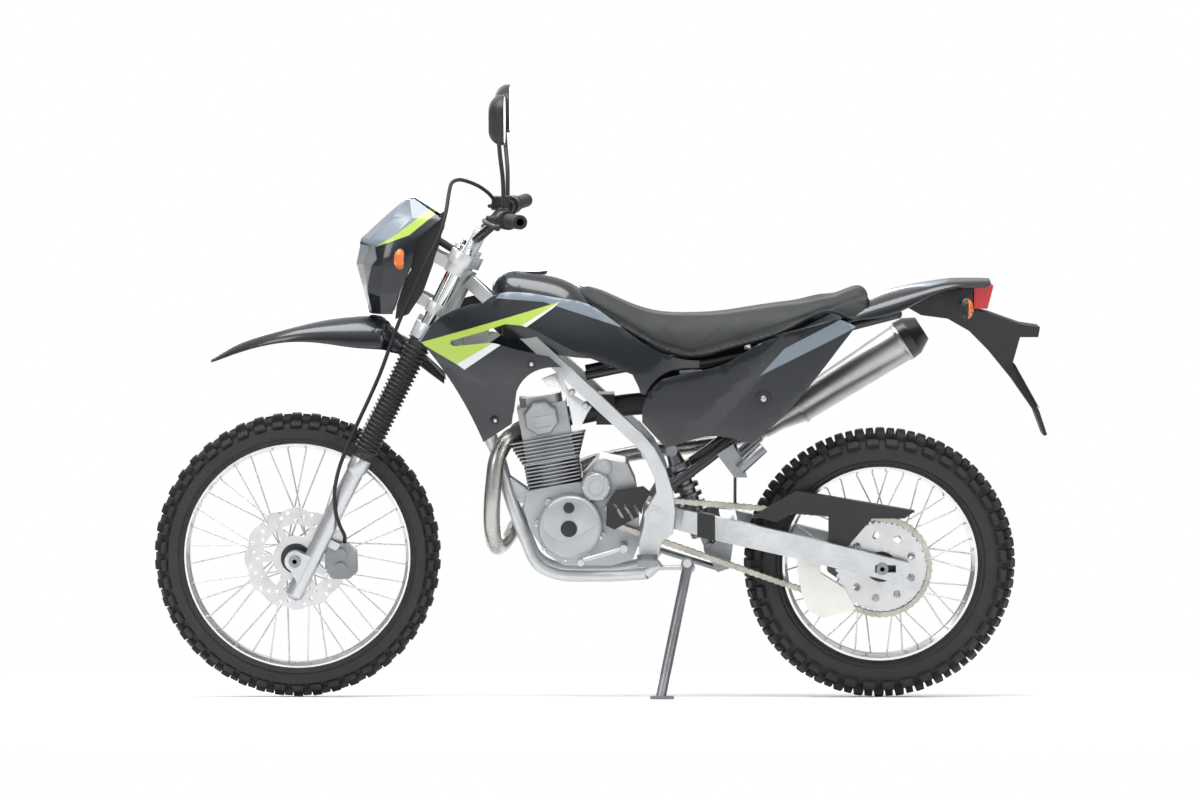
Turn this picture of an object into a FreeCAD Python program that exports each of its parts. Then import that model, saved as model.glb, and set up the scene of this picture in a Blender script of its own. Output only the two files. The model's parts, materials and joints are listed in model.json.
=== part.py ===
import FreeCAD, Part
import math
import os

# A dual sport motorcycle, leaning on its side stand.
# Each sub-part is drawn upright: X points forward from the middle of the wheelbase,
# Y to the rider's left and Z up from the ground. place() leans the finished machine.

# Driving dimensions
WHEELBASE = 1380.0
SEAT_HEIGHT = 910.0
BAR_WIDTH = 830.0
FRONT_TYRE_DIAMETER = 678.0
REAR_TYRE_DIAMETER = 642.0
FRONT_TYRE_WIDTH = 80.0
REAR_TYRE_WIDTH = 108.0
FRONT_BEAD_DIAMETER = 533.4
REAR_BEAD_DIAMETER = 457.2
RAKE_DEG = 26.5
CLAMP_OFFSET = 22.0
AXLE_LEAD = 34.0
LEAN_DEG = 8.0

# Clearances and overruns shared by many pieces
SEAT_GAP = 0.3
SLIDE_GAP = 0.3
OVERRUN = 5.0
PANEL_WALL = 3.5

FRONT_AXLE_X = WHEELBASE / 2
REAR_AXLE_X = -WHEELBASE / 2
FRONT_AXLE_Z = FRONT_TYRE_DIAMETER / 2
REAR_AXLE_Z = REAR_TYRE_DIAMETER / 2


# Plain geometry helpers
def vec(x, y, z):
    return FreeCAD.Vector(x, y, z)


X_WAY = vec(1, 0, 0)
Y_WAY = vec(0, 1, 0)
Z_WAY = vec(0, 0, 1)


def stations(shares):
    """Points (x, z) from shares of the wheelbase and of the seat height."""
    return [(x_share * WHEELBASE, z_share * SEAT_HEIGHT) for x_share, z_share in shares]


def at_width(points, y):
    return [vec(x, y, z) for x, z in points]


def wire_through(runs, y):
    """A closed wire in the plane of y. A run of two points is straight, a longer one a curve."""
    edges = []
    for run in runs:
        places = at_width(run, y)
        if len(places) == 2:
            edges.append(Part.LineSegment(places[0], places[1]).toShape())
        else:
            curve = Part.BSplineCurve()
            curve.interpolate(places)
            edges.append(curve.toShape())
    return Part.Wire(Part.__sortEdges__(edges))


def slab(points, y_low, y_high):
    """A side outline with straight edges, extruded from y_low to y_high."""
    wire = Part.makePolygon(at_width(points + points[:1], y_low))
    return Part.Face(wire).extrude(vec(0, y_high - y_low, 0))


def curved_slab(runs, y_low, y_high):
    return Part.Face(wire_through(runs, y_low)).extrude(vec(0, y_high - y_low, 0))


def rod(start, end, radius):
    return Part.makeCylinder(radius, (end - start).Length, start, end - start)


def cross_rod(x, z, radius, y_low, y_high):
    return rod(vec(x, y_low, z), vec(x, y_high, z), radius)


def ring(x, z, radius_out, radius_in, y_low, y_high):
    bore = cross_rod(x, z, radius_in, y_low - OVERRUN, y_high + OVERRUN)
    return cross_rod(x, z, radius_out, y_low, y_high).cut(bore)


def box(x_low, x_high, y_low, y_high, z_low, z_high):
    return Part.makeBox(x_high - x_low, y_high - y_low, z_high - z_low, vec(x_low, y_low, z_low))


def joined(shapes):
    """One solid, or as many as the pieces form, with shared faces merged."""
    whole = shapes[0]
    if len(shapes) > 1:
        whole = shapes[0].multiFuse(shapes[1:])
    return whole.removeSplitter()


def apart(shapes):
    return Part.makeCompound([solid for shape in shapes for solid in shape.Solids])


def other_side(shape):
    return shape.mirror(vec(0, 0, 0), Y_WAY)


def both_sides(shape):
    return apart([shape, other_side(shape)])


def largest(shape):
    return max(shape.Solids, key=lambda solid: solid.Volume)


def turned(x, z, profile):
    """A ring about the Y axis through (x, z). The profile is a list of (radius, y)."""
    places = [vec(x + radius, y, z) for radius, y in profile]
    face = Part.Face(Part.makePolygon(places + places[:1]))
    return face.revolve(vec(x, 0, z), Y_WAY, 360)


def turned_about(start, way, profile):
    """A solid turned about a line. The profile is a list of (distance along, radius)."""
    places = [vec(radius, 0, along) for along, radius in profile]
    solid = Part.Face(Part.makePolygon(places + places[:1])).revolve(vec(0, 0, 0), Z_WAY, 360)
    turn = FreeCAD.Rotation(Z_WAY, way)
    return solid.transformGeometry(FreeCAD.Placement(start, turn).toMatrix())


BEND_SHARE = 0.45


def path(points, bend_share):
    """Straight runs joined by tangent arcs, each taking a share of the shorter run beside it."""
    edges = []
    last = points[0]
    for before, corner, after in zip(points, points[1:], points[2:]):
        way_in = (before - corner).normalize()
        way_out = (after - corner).normalize()
        turn = math.pi - way_in.getAngle(way_out)
        trim = bend_share * min((before - corner).Length, (after - corner).Length)
        start = corner + way_in * trim
        end = corner + way_out * trim
        radius = trim / math.tan(turn / 2)
        middle_way = (way_in + way_out).normalize()
        depth = math.hypot(radius, trim) - radius
        edges.append(Part.LineSegment(last, start).toShape())
        edges.append(Part.Arc(start, corner + middle_way * depth, end).toShape())
        last = end
    edges.append(Part.LineSegment(last, points[-1]).toShape())
    return Part.Wire(edges)


def tube(points, radius, wall=None, bend_share=BEND_SHARE):
    """A round tube along a path, hollow when a wall is given."""
    line = path(points, bend_share)
    whole = swept(line, points, radius)
    if wall is None:
        return whole
    return whole.cut(swept(line, points, radius - wall))


def swept(line, points, radius):
    circle = Part.makeCircle(radius, points[0], points[1] - points[0])
    return line.makePipeShell([Part.Wire(circle)], True, False)


def beam(rows):
    """A box section beam through rows of (x, y, z, half height, half width, slope in degrees)."""
    wires = []
    for x, y, z, half_height, half_width, slope in rows:
        up = vec(-math.sin(math.radians(slope)), 0, math.cos(math.radians(slope))) * half_height
        out = Y_WAY * half_width
        centre = vec(x, y, z)
        corners = [centre + up + out, centre + up - out, centre - up - out, centre - up + out]
        wires.append(Part.makePolygon(corners + corners[:1]))
    return Part.makeLoft(wires, True, True)


def loft_through(sections, ruled=False):
    """A solid through closed sections. Each is a list of runs of points, as in wire_through."""
    wires = []
    for runs in sections:
        edges = []
        for run in runs:
            if len(run) == 2:
                edges.append(Part.LineSegment(run[0], run[1]).toShape())
            else:
                curve = Part.BSplineCurve()
                curve.interpolate(run)
                edges.append(curve.toShape())
        wires.append(Part.Wire(edges))
    return Part.makeLoft(wires, True, ruled)


def sheet(rows, wall):
    """A curved wall through a grid of points, thickened towards the middle of the machine."""
    surface = Part.BSplineSurface()
    surface.interpolate(rows)
    return surface.toShape().extrude(vec(0, -wall, 0))


def pattern(shape, x, z, count):
    """Copies of a shape turned about the Y axis through (x, z)."""
    copies = []
    for index in range(count):
        copy = shape.copy()
        copy.rotate(vec(x, 0, z), Y_WAY, index * 360.0 / count)
        copies.append(copy)
    return copies


# Wheels: rims, spokes, hubs, discs and tyres
RIM_WALL = 3.0
RIM_WELL_DEPTH = 7.0
RIM_WELL_HALF = 9.0
FRONT_RIM_HALF = 24.0
REAR_RIM_HALF = 31.0
FRONT_FLANGE = 11.0
REAR_FLANGE = 14.0
SPOKE_COUNT = 36
SPOKE_RADIUS = 1.8
SPOKE_SIDE_STEP = 2.6
SPOKE_RIM_OFFSET = 6.0
SPOKE_CROSS_DEG = 58.0
FLANGE_WALL = 4.5
HUB_BARREL_RADIUS = 24.0
AXLE_RADIUS = 8.5
AXLE_BORE = 5.5
AXLE_GAP = 0.4
FRONT_HUB_FLANGE_RADIUS = 38.0
FRONT_HUB_FLANGE_Y = 27.0
REAR_HUB_FLANGE_RADIUS = 52.0
REAR_HUB_FLANGE_Y = 30.0
DISC_WALL = 4.0
FRONT_DISC_RADIUS = 122.0
REAR_DISC_RADIUS = 108.0
FRONT_DISC_Y = 64.0
REAR_DISC_Y = -72.0
DISC_WAVES = 12
DISC_WAVE_DEPTH = 5.0
DISC_HOLE_RADIUS = 4.6
DISC_CARRIER_HOLE = 36.0
SPROCKET_Y = 76.0
SPROCKET_WALL = 5.0
CHAIN_PITCH = 15.875
CHAIN_ROLLER_RADIUS = 5.08
SPROCKET_TEETH = 45
DRIVE_TEETH = 14


CARCASS_SHARES = [(0.20, 0.66), (0.52, 0.94), (0.80, 0.92), (1.00, 0.36)]
BLOCK_LENGTH = 25.0
BLOCK_WIDTH_SHARE = 0.84
BOTTOM_DEG = 90.0
HALF = 0.5
FRONT_PITCHES = 34
REAR_PITCHES = 33
FRONT_BLOCK_HEIGHT = 9.0
REAR_BLOCK_HEIGHT = 11.0


def rim_rows(bead_radius, half, flange):
    """The rim's outer face from edge to edge, where the tyre's beads sit."""
    return [(bead_radius + flange, -half + RIM_WALL),
            (bead_radius, -half + RIM_WALL),
            (bead_radius - RIM_WALL, -RIM_WELL_HALF - RIM_WELL_DEPTH),
            (bead_radius - RIM_WELL_DEPTH, -RIM_WELL_HALF),
            (bead_radius - RIM_WELL_DEPTH, RIM_WELL_HALF),
            (bead_radius - RIM_WALL, RIM_WELL_HALF + RIM_WELL_DEPTH),
            (bead_radius, half - RIM_WALL),
            (bead_radius + flange, half - RIM_WALL)]


def rim(x, z, bead_radius, half, flange):
    inner = [(bead_radius + flange, half),
             (bead_radius - RIM_WALL, half),
             (bead_radius - RIM_WALL - RIM_WELL_DEPTH, RIM_WELL_HALF + RIM_WALL),
             (bead_radius - RIM_WALL - RIM_WELL_DEPTH, -RIM_WELL_HALF - RIM_WALL),
             (bead_radius - RIM_WALL, -half),
             (bead_radius + flange, -half)]
    return turned(x, z, rim_rows(bead_radius, half, flange) + inner)


def spoke_bed(bead_radius):
    return bead_radius - RIM_WALL - RIM_WELL_DEPTH


def wheel_point(x, z, radius, angle_deg, y):
    angle = math.radians(angle_deg)
    return vec(x + radius * math.cos(angle), y, z + radius * math.sin(angle))


def spokes(x, z, bead_radius, flange_radius, flange_y):
    """Crossed wire spokes. Each runs beside its flange, so crossing pairs pass each other."""
    pieces = []
    per_side = SPOKE_COUNT // 2
    hub_radius = flange_radius - FLANGE_WALL
    rim_radius = spoke_bed(bead_radius) - SEAT_GAP
    for side in (1, -1):
        for index in range(per_side):
            leading = 1 if index % 2 == 0 else -1
            rim_angle = (index + 0.25 * side) * 360.0 / per_side
            hub_angle = rim_angle + leading * SPOKE_CROSS_DEG
            step = FLANGE_WALL / 2 + SPOKE_RADIUS + (SPOKE_SIDE_STEP if leading > 0 else SEAT_GAP)
            hub_y = side * (flange_y + leading * step)
            start = wheel_point(x, z, hub_radius, hub_angle, hub_y)
            end = wheel_point(x, z, rim_radius, rim_angle, side * SPOKE_RIM_OFFSET)
            pieces.append(rod(start, end, SPOKE_RADIUS))
    return apart(pieces)


def hub(x, z, flange_radius, flange_y, left_end, right_end):
    """A hub turned round its axle, with two spoke flanges and a seat at each end."""
    half = FLANGE_WALL / 2
    bore = AXLE_RADIUS + AXLE_GAP
    step = HUB_BARREL_RADIUS + FLANGE_WALL
    profile = [(bore, right_end), (HUB_BARREL_RADIUS, right_end),
               (step, -flange_y - half), (flange_radius, -flange_y - half),
               (flange_radius, -flange_y + half), (step, -flange_y + half),
               (HUB_BARREL_RADIUS, 0),
               (step, flange_y - half), (flange_radius, flange_y - half),
               (flange_radius, flange_y + half), (step, flange_y + half),
               (HUB_BARREL_RADIUS, left_end), (bore, left_end)]
    return turned(x, z, profile)


def wavy_disc(x, z, radius, y_low):
    """A brake disc with a waved rim, a ring of holes and an open middle on six arms."""
    points = []
    steps = DISC_WAVES * 4
    for index in range(steps):
        wave = DISC_WAVE_DEPTH / 2 * math.cos(2 * math.pi * index / 4)
        points.append(wheel_point(x, z, radius - DISC_WAVE_DEPTH / 2 + wave, index * 360.0 / steps, y_low))
    curve = Part.BSplineCurve()
    curve.interpolate(points, PeriodicFlag=True)
    disc = Part.Face(Part.Wire(curve.toShape())).extrude(vec(0, DISC_WALL, 0))
    inner = radius * DISC_BAND_SHARE
    window = ring(x, z, inner, radius * DISC_HEART_SHARE, y_low - OVERRUN, y_low + DISC_WALL + OVERRUN)
    arm = box(x, x + radius, y_low - OVERRUN, y_low + DISC_WALL + OVERRUN, z - DISC_ARM / 2, z + DISC_ARM / 2)
    disc = disc.cut(window.cut(joined(pattern(arm, x, z, DISC_ARMS))))
    holes = [ring_hole(x, z, radius * share, turn, y_low) for share, turn in DISC_HOLE_SHARES]
    cuts = [copy for hole in holes for copy in pattern(hole, x, z, DISC_WAVES)]
    cuts.append(cross_rod(x, z, DISC_CARRIER_HOLE, y_low - OVERRUN, y_low + DISC_WALL + OVERRUN))
    return disc.cut(apart(cuts))


DISC_ARMS = 6
DISC_ARM = 16.0
DISC_BAND_SHARE = 0.66
DISC_HEART_SHARE = 0.44
DISC_HOLE_SHARES = [(0.74, 0.0), (0.83, 10.0), (0.90, 20.0)]


def ring_hole(x, z, radius, turn, y_low):
    place = wheel_point(x, z, radius, turn, y_low - OVERRUN)
    return Part.makeCylinder(DISC_HOLE_RADIUS, DISC_WALL + OVERRUN * 2, place, Y_WAY)


def disc_carrier(x, z, y_disc, y_hub, way):
    """The hub's seat for a disc or sprocket: a cup with a rim that the middle hole fits over."""
    rim_radius = DISC_CARRIER_HOLE - SLIDE_GAP
    seat_radius = DISC_CARRIER_HOLE + CARRIER_LIP
    bore = AXLE_RADIUS + AXLE_GAP
    profile = [(bore, y_hub), (seat_radius, y_disc - way * CARRIER_WALL), (seat_radius, y_disc),
               (rim_radius, y_disc), (rim_radius, y_disc + way * DISC_WALL), (bore, y_disc + way * DISC_WALL)]
    return turned(x, z, profile)


CARRIER_LIP = 12.0
CARRIER_WALL = 5.0


def tyre(x, z, count, bead_radius, rim_half, flange, width, outer_radius, block_height):
    """A tyre in flat facets, one pitch of the tread to each, with its blocks out to the outer radius."""
    half_step = math.pi / count
    fit = 1 / math.cos(half_step)
    shift = outer_radius * math.tan(half_step) / 2
    reach = shift + BLOCK_LENGTH / 2
    top = math.sqrt(outer_radius * outer_radius - reach * reach)
    phase = math.degrees(math.atan(shift / top)) - BOTTOM_DEG
    seat_half = rim_half - RIM_WALL - SEAT_GAP
    rise = (top - block_height) * fit - bead_radius
    side = [((bead_radius + SEAT_GAP) * fit, seat_half), ((bead_radius + flange + SEAT_GAP) * fit, seat_half)]
    side += [(bead_radius + rise * up, width / 2 * out) for up, out in CARCASS_SHARES]
    rows = side + [(radius, -y) for radius, y in reversed(side)]
    carcass = faceted_ring(x, z, rows, count, phase)
    shoulder, crown = side[-2:]
    blocks = []
    for start, end, along in ((shoulder, crown, shift), ((shoulder[0], -shoulder[1]), (crown[0], -crown[1]), shift),
                              (crown, (crown[0], -crown[1]), -shift)):
        block = tread_block(start[0] / fit, start[1], end[0] / fit, end[1], along, block_height)
        for index in range(count):
            turned_block = block.rotated(vec(0, 0, 0), Y_WAY, -phase - math.degrees(half_step) * 2 * index)
            blocks.append(turned_block.translated(vec(x, 0, z)))
    return largest(carcass.multiFuse(blocks))


def faceted_ring(x, z, rows, count, phase_deg):
    """A closed ring of flat faces. Each row is a corner of its section, as (radius, y)."""
    step = 360.0 / count
    faces = []
    for index in range(count):
        low = phase_deg + step * (index - HALF)
        for before, after in zip(rows, rows[1:] + rows[:1]):
            corners = [wheel_point(x, z, before[0], low, before[1]), wheel_point(x, z, before[0], low + step, before[1]),
                       wheel_point(x, z, after[0], low + step, after[1]), wheel_point(x, z, after[0], low, after[1])]
            faces.append(Part.Face(Part.makePolygon(corners + corners[:1])))
    shell = Part.makeShell(faces)
    shell.sewShape()
    return Part.makeSolid(shell)


def tread_block(low_radius, low_y, high_radius, high_y, along, height):
    """A block that stands on the flat between two corners of the section, at the wheel's angle zero."""
    across = vec(high_radius - low_radius, high_y - low_y, 0)
    middle = vec(low_radius, low_y, 0) + across * HALF + vec(0, 0, along)
    out = vec(across.y, -across.x, 0).normalize()
    if out.x < 0:
        out = out * -1
    edge = across * HALF * BLOCK_WIDTH_SHARE
    run = vec(0, 0, BLOCK_LENGTH / 2)
    foot = middle - out * OVERRUN
    corners = [foot - edge - run, foot + edge - run, foot + edge + run, foot - edge + run]
    return Part.Face(Part.makePolygon(corners + corners[:1])).extrude(out * (height + OVERRUN))


def front_wheel():
    x, z = FRONT_AXLE_X, FRONT_AXLE_Z
    bead = FRONT_BEAD_DIAMETER / 2
    seat = FRONT_DISC_Y
    core = hub(x, z, FRONT_HUB_FLANGE_RADIUS, FRONT_HUB_FLANGE_Y, seat, -FRONT_HUB_END)
    carrier = disc_carrier(x, z, seat, FRONT_HUB_FLANGE_Y + FLANGE_WALL * 2, 1)
    return {
        "front_tyre": tyre(x, z, FRONT_PITCHES, bead, FRONT_RIM_HALF, FRONT_FLANGE, FRONT_TYRE_WIDTH, FRONT_AXLE_Z,
                           FRONT_BLOCK_HEIGHT),
        "front_rim": rim(x, z, bead, FRONT_RIM_HALF, FRONT_FLANGE),
        "front_spokes": spokes(x, z, bead, FRONT_HUB_FLANGE_RADIUS, FRONT_HUB_FLANGE_Y),
        "front_hub": joined([core, carrier]),
        "front_disc": wavy_disc(x, z, FRONT_DISC_RADIUS, seat),
    }


FRONT_HUB_END = 62.0
REAR_HUB_END = 66.0


def pitch_radius(teeth):
    return CHAIN_PITCH / 2 / math.sin(math.pi / teeth)


def sprocket(x, z, teeth, y_middle):
    """A toothed plate. The tips stay inside the chain's rollers, so the wheel turns freely."""
    tip = pitch_radius(teeth) - CHAIN_ROLLER_RADIUS - SPROCKET_TIP_GAP
    root = tip - SPROCKET_TOOTH
    points = []
    for index in range(teeth):
        for radius, share in ((root, 0.0), (tip, 0.3), (tip, 0.55), (root, 0.85)):
            angle = (index + share) * 360.0 / teeth
            place = wheel_point(x, z, radius, angle, 0)
            points.append((place.x, place.z))
    return slab(points, y_middle - SPROCKET_WALL / 2, y_middle + SPROCKET_WALL / 2)


SPROCKET_TIP_GAP = 0.9
SPROCKET_TOOTH = 5.0
SPROCKET_WINDOWS = 9
SPROCKET_WINDOW_SHARE = 0.66
SPROCKET_WINDOW_RADIUS = 9.0


def rear_wheel():
    x, z = REAR_AXLE_X, REAR_AXLE_Z
    bead = REAR_BEAD_DIAMETER / 2
    core = hub(x, z, REAR_HUB_FLANGE_RADIUS, REAR_HUB_FLANGE_Y, REAR_HUB_END, -REAR_HUB_END)
    left_seat = SPROCKET_Y - SPROCKET_WALL / 2
    right_seat = REAR_DISC_Y + DISC_WALL
    left = disc_carrier(x, z, left_seat, REAR_HUB_FLANGE_Y + FLANGE_WALL * 2, 1)
    right = disc_carrier(x, z, right_seat, -REAR_HUB_FLANGE_Y - FLANGE_WALL * 2, -1)
    toothed = sprocket(x, z, SPROCKET_TEETH, SPROCKET_Y)
    window = cross_rod(x + pitch_radius(SPROCKET_TEETH) * SPROCKET_WINDOW_SHARE, z,
                       SPROCKET_WINDOW_RADIUS, left_seat - OVERRUN, left_seat + SPROCKET_WALL + OVERRUN)
    middle = cross_rod(x, z, DISC_CARRIER_HOLE, left_seat - OVERRUN, left_seat + SPROCKET_WALL + OVERRUN)
    toothed = toothed.cut(apart(pattern(window, x, z, SPROCKET_WINDOWS) + [middle]))
    return {
        "rear_tyre": tyre(x, z, REAR_PITCHES, bead, REAR_RIM_HALF, REAR_FLANGE, REAR_TYRE_WIDTH, REAR_AXLE_Z,
                          REAR_BLOCK_HEIGHT),
        "rear_rim": rim(x, z, bead, REAR_RIM_HALF, REAR_FLANGE),
        "rear_spokes": spokes(x, z, bead, REAR_HUB_FLANGE_RADIUS, REAR_HUB_FLANGE_Y),
        "rear_hub": joined([core, left, right]),
        "rear_disc": wavy_disc(x, z, REAR_DISC_RADIUS, REAR_DISC_Y),
        "rear_sprocket": toothed,
    }


# Fork frame: s runs up the steering axis from the height of the axle, f forward of it
RAKE = math.radians(RAKE_DEG)
UP_FORK = vec(-math.sin(RAKE), 0, math.cos(RAKE))
FORE_FORK = vec(math.cos(RAKE), 0, math.sin(RAKE))
STEER_FOOT = vec(FRONT_AXLE_X, 0, FRONT_AXLE_Z) - FORE_FORK * (AXLE_LEAD + CLAMP_OFFSET)
LEG_Y = 98.0
LEG_BOTTOM = -85.0
SLIDER_TOP = 287.0
LOWER_CLAMP_LOW = 602.0
LOWER_CLAMP_WALL = 36.0
UPPER_CLAMP_LOW = 797.0
UPPER_CLAMP_WALL = 30.0
TUBE_TOP = 842.0
TUBE_RADIUS = 18.5
HEAD_TUBE_GAP = 6.0


def fork_point(s, f, y):
    return STEER_FOOT + UP_FORK * s + FORE_FORK * f + vec(0, y, 0)


def in_fork(shape):
    """Moves a shape drawn with X forward of, and Z along, the steering axis to its place."""
    moved = shape.copy()
    turn = FreeCAD.Rotation(Y_WAY, -RAKE_DEG)
    moved.Placement = FreeCAD.Placement(STEER_FOOT, turn).multiply(moved.Placement)
    return moved


SLIDER_RADIUS = 20.5
SLIDER_COLLAR = 24.0
SLIDER_COLLAR_LENGTH = 30.0
SLIDER_NOSE = 9.0
AXLE_LUG_RADIUS = 24.0
AXLE_LUG_INNER_Y = 78.0
AXLE_LUG_OUTER_Y = 118.0
CALIPER_LUG_WALL = 9.0


def fork_lowers():
    """The two sliders, each with the lug that carries the axle ahead of its leg."""
    length = SLIDER_TOP - LEG_BOTTOM
    profile = [(0, 0), (0, SLIDER_RADIUS - SLIDER_NOSE), (SLIDER_NOSE, SLIDER_RADIUS),
               (length - SLIDER_COLLAR_LENGTH - SLIDER_NOSE, SLIDER_RADIUS),
               (length - SLIDER_COLLAR_LENGTH, SLIDER_COLLAR), (length, SLIDER_COLLAR), (length, 0)]
    slider = turned_about(fork_point(LEG_BOTTOM, CLAMP_OFFSET, LEG_Y), UP_FORK, profile)
    x, z = FRONT_AXLE_X, FRONT_AXLE_Z
    lug = cross_rod(x, z, AXLE_LUG_RADIUS, AXLE_LUG_INNER_Y, AXLE_LUG_OUTER_Y)
    web_places = [fork_point(AXLE_LUG_RADIUS, CLAMP_OFFSET, 0), fork_point(AXLE_LUG_RADIUS, AXLE_LEAD + CLAMP_OFFSET, 0),
                  fork_point(-AXLE_LUG_RADIUS, AXLE_LEAD + CLAMP_OFFSET, 0),
                  fork_point(-AXLE_LUG_RADIUS * 2, CLAMP_OFFSET, 0)]
    web = slab([(p.x, p.z) for p in web_places], AXLE_LUG_INNER_Y, AXLE_LUG_OUTER_Y)
    leg = joined([slider, lug, web])
    leg = leg.cut(cross_rod(x, z, AXLE_RADIUS + SLIDE_GAP, 0, BAR_WIDTH))
    tabs = []
    for s in CALIPER_TAB_PLACES:
        centre = fork_point(s, CLAMP_OFFSET - SLIDER_RADIUS - CALIPER_TAB_REACH / 2, 0)
        tab = Part.makeBox(CALIPER_TAB_REACH * 2, CALIPER_LUG_WALL, CALIPER_TAB_HEIGHT)
        tab.translate(vec(CLAMP_OFFSET - CALIPER_TAB_REACH * 2, LEG_Y - SLIDER_RADIUS + OVERRUN, s))
        tabs.append(in_fork(tab))
    left = joined([leg] + tabs)
    return apart([left, other_side(leg)])


CALIPER_TAB_PLACES = [-6.0, 62.0]
CALIPER_TAB_REACH = 22.0
CALIPER_TAB_HEIGHT = 18.0


def front_axle():
    """A hollow axle with a head at its left end and a nut at its right."""
    x, z = FRONT_AXLE_X, FRONT_AXLE_Z
    end = AXLE_LUG_OUTER_Y + AXLE_HEAD_WALL
    shank = cross_rod(x, z, AXLE_RADIUS, -end, end)
    heads = [cross_rod(x, z, AXLE_HEAD_RADIUS, side * AXLE_LUG_OUTER_Y + SEAT_GAP * side, side * end)
             for side in (1, -1)]
    spacers = [turned(x, z, [(AXLE_RADIUS, FRONT_DISC_Y + DISC_WALL + AXLE_GAP), (SPACER_RADIUS, FRONT_DISC_Y + DISC_WALL + AXLE_GAP),
                             (SPACER_RADIUS, AXLE_LUG_INNER_Y), (AXLE_RADIUS, AXLE_LUG_INNER_Y)]),
               turned(x, z, [(AXLE_RADIUS, -FRONT_HUB_END - AXLE_GAP), (SPACER_RADIUS, -FRONT_HUB_END - AXLE_GAP),
                             (SPACER_RADIUS, -AXLE_LUG_INNER_Y), (AXLE_RADIUS, -AXLE_LUG_INNER_Y)])]
    bore = cross_rod(x, z, AXLE_BORE, -end - OVERRUN, end + OVERRUN)
    return joined([shank] + heads + spacers).cut(bore)


AXLE_HEAD_WALL = 8.0
AXLE_HEAD_RADIUS = 14.0
SPACER_RADIUS = 13.0


def fork_tubes():
    bottom = SLIDER_TOP + SEAT_GAP
    length = TUBE_TOP - bottom
    cap = length - TUBE_CAP_WALL
    profile = [(0, 0), (0, TUBE_RADIUS), (cap, TUBE_RADIUS), (cap, TUBE_RADIUS - TUBE_CAP_STEP),
               (length, TUBE_RADIUS - TUBE_CAP_STEP), (length, 0)]
    return both_sides(turned_about(fork_point(bottom, CLAMP_OFFSET, LEG_Y), UP_FORK, profile))


TUBE_CAP_WALL = 9.0
TUBE_CAP_STEP = 3.0
BOOT_RIDGES = 20
BOOT_RADIUS = 35.5
BOOT_VALLEY = 30.0
BOOT_CUFF = 16.0


def fork_boots():
    """Bellows from the slider's collar to the lower clamp."""
    length = LOWER_CLAMP_LOW - SLIDER_TOP - SEAT_GAP * 2
    step = (length - BOOT_CUFF * 2) / BOOT_RIDGES
    outer = [(0, SLIDER_COLLAR), (0, BOOT_VALLEY), (BOOT_CUFF, BOOT_VALLEY)]
    for index in range(BOOT_RIDGES):
        outer.append((BOOT_CUFF + (index + 0.5) * step, BOOT_RADIUS))
        outer.append((BOOT_CUFF + (index + 1) * step, BOOT_VALLEY))
    outer += [(length, BOOT_VALLEY), (length, TUBE_RADIUS + SEAT_GAP), (0, TUBE_RADIUS + SEAT_GAP)]
    start = fork_point(SLIDER_TOP + SEAT_GAP, CLAMP_OFFSET, LEG_Y)
    return both_sides(turned_about(start, UP_FORK, outer[1:]))


CLAMP_EAR_RADIUS = 30.0
STEM_RADIUS = 14.0
STEM_BOSS_RADIUS = 27.0
CLAMP_WEB_SHARE = 0.62


def clamp_plate(low, wall):
    """A fork clamp: an ear round each leg and a boss round the stem, joined by webs."""
    ears = [Part.makeCylinder(CLAMP_EAR_RADIUS, wall, vec(CLAMP_OFFSET, side * LEG_Y, low)) for side in (1, -1)]
    boss = Part.makeCylinder(STEM_BOSS_RADIUS, wall, vec(0, 0, low))
    half = CLAMP_EAR_RADIUS * CLAMP_WEB_SHARE
    corners = [vec(CLAMP_OFFSET + half, LEG_Y, low), vec(CLAMP_OFFSET + half, -LEG_Y, low),
               vec(CLAMP_OFFSET - half, -LEG_Y, low), vec(-STEM_BOSS_RADIUS, 0, low),
               vec(CLAMP_OFFSET - half, LEG_Y, low)]
    web = Part.Face(Part.makePolygon(corners + corners[:1])).extrude(vec(0, 0, wall))
    plate = joined(ears + [boss, web])
    for side in (1, -1):
        plate = plate.cut(Part.makeCylinder(TUBE_RADIUS + SLIDE_GAP, wall + OVERRUN * 2,
                                            vec(CLAMP_OFFSET, side * LEG_Y, low - OVERRUN)))
        slot = Part.makeBox(CLAMP_EAR_RADIUS * 2, CLAMP_SLOT, wall + OVERRUN * 2)
        slot.translate(vec(CLAMP_OFFSET - CLAMP_EAR_RADIUS * 2, side * LEG_Y - CLAMP_SLOT / 2, low - OVERRUN))
        plate = plate.cut(slot)
    return plate


CLAMP_SLOT = 4.0
RISER_Y = 48.0
RISER_RADIUS = 17.0
BAR_S = 868.0
BAR_F = 10.0
BAR_RADIUS = 11.1
BAR_WALL = 2.4
BAR_BORE_DEPTH = 90.0
BAR_END_LENGTH = 150.0
STEM_NUT_RADIUS = 17.0
STEM_NUT_WALL = 12.0


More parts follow.
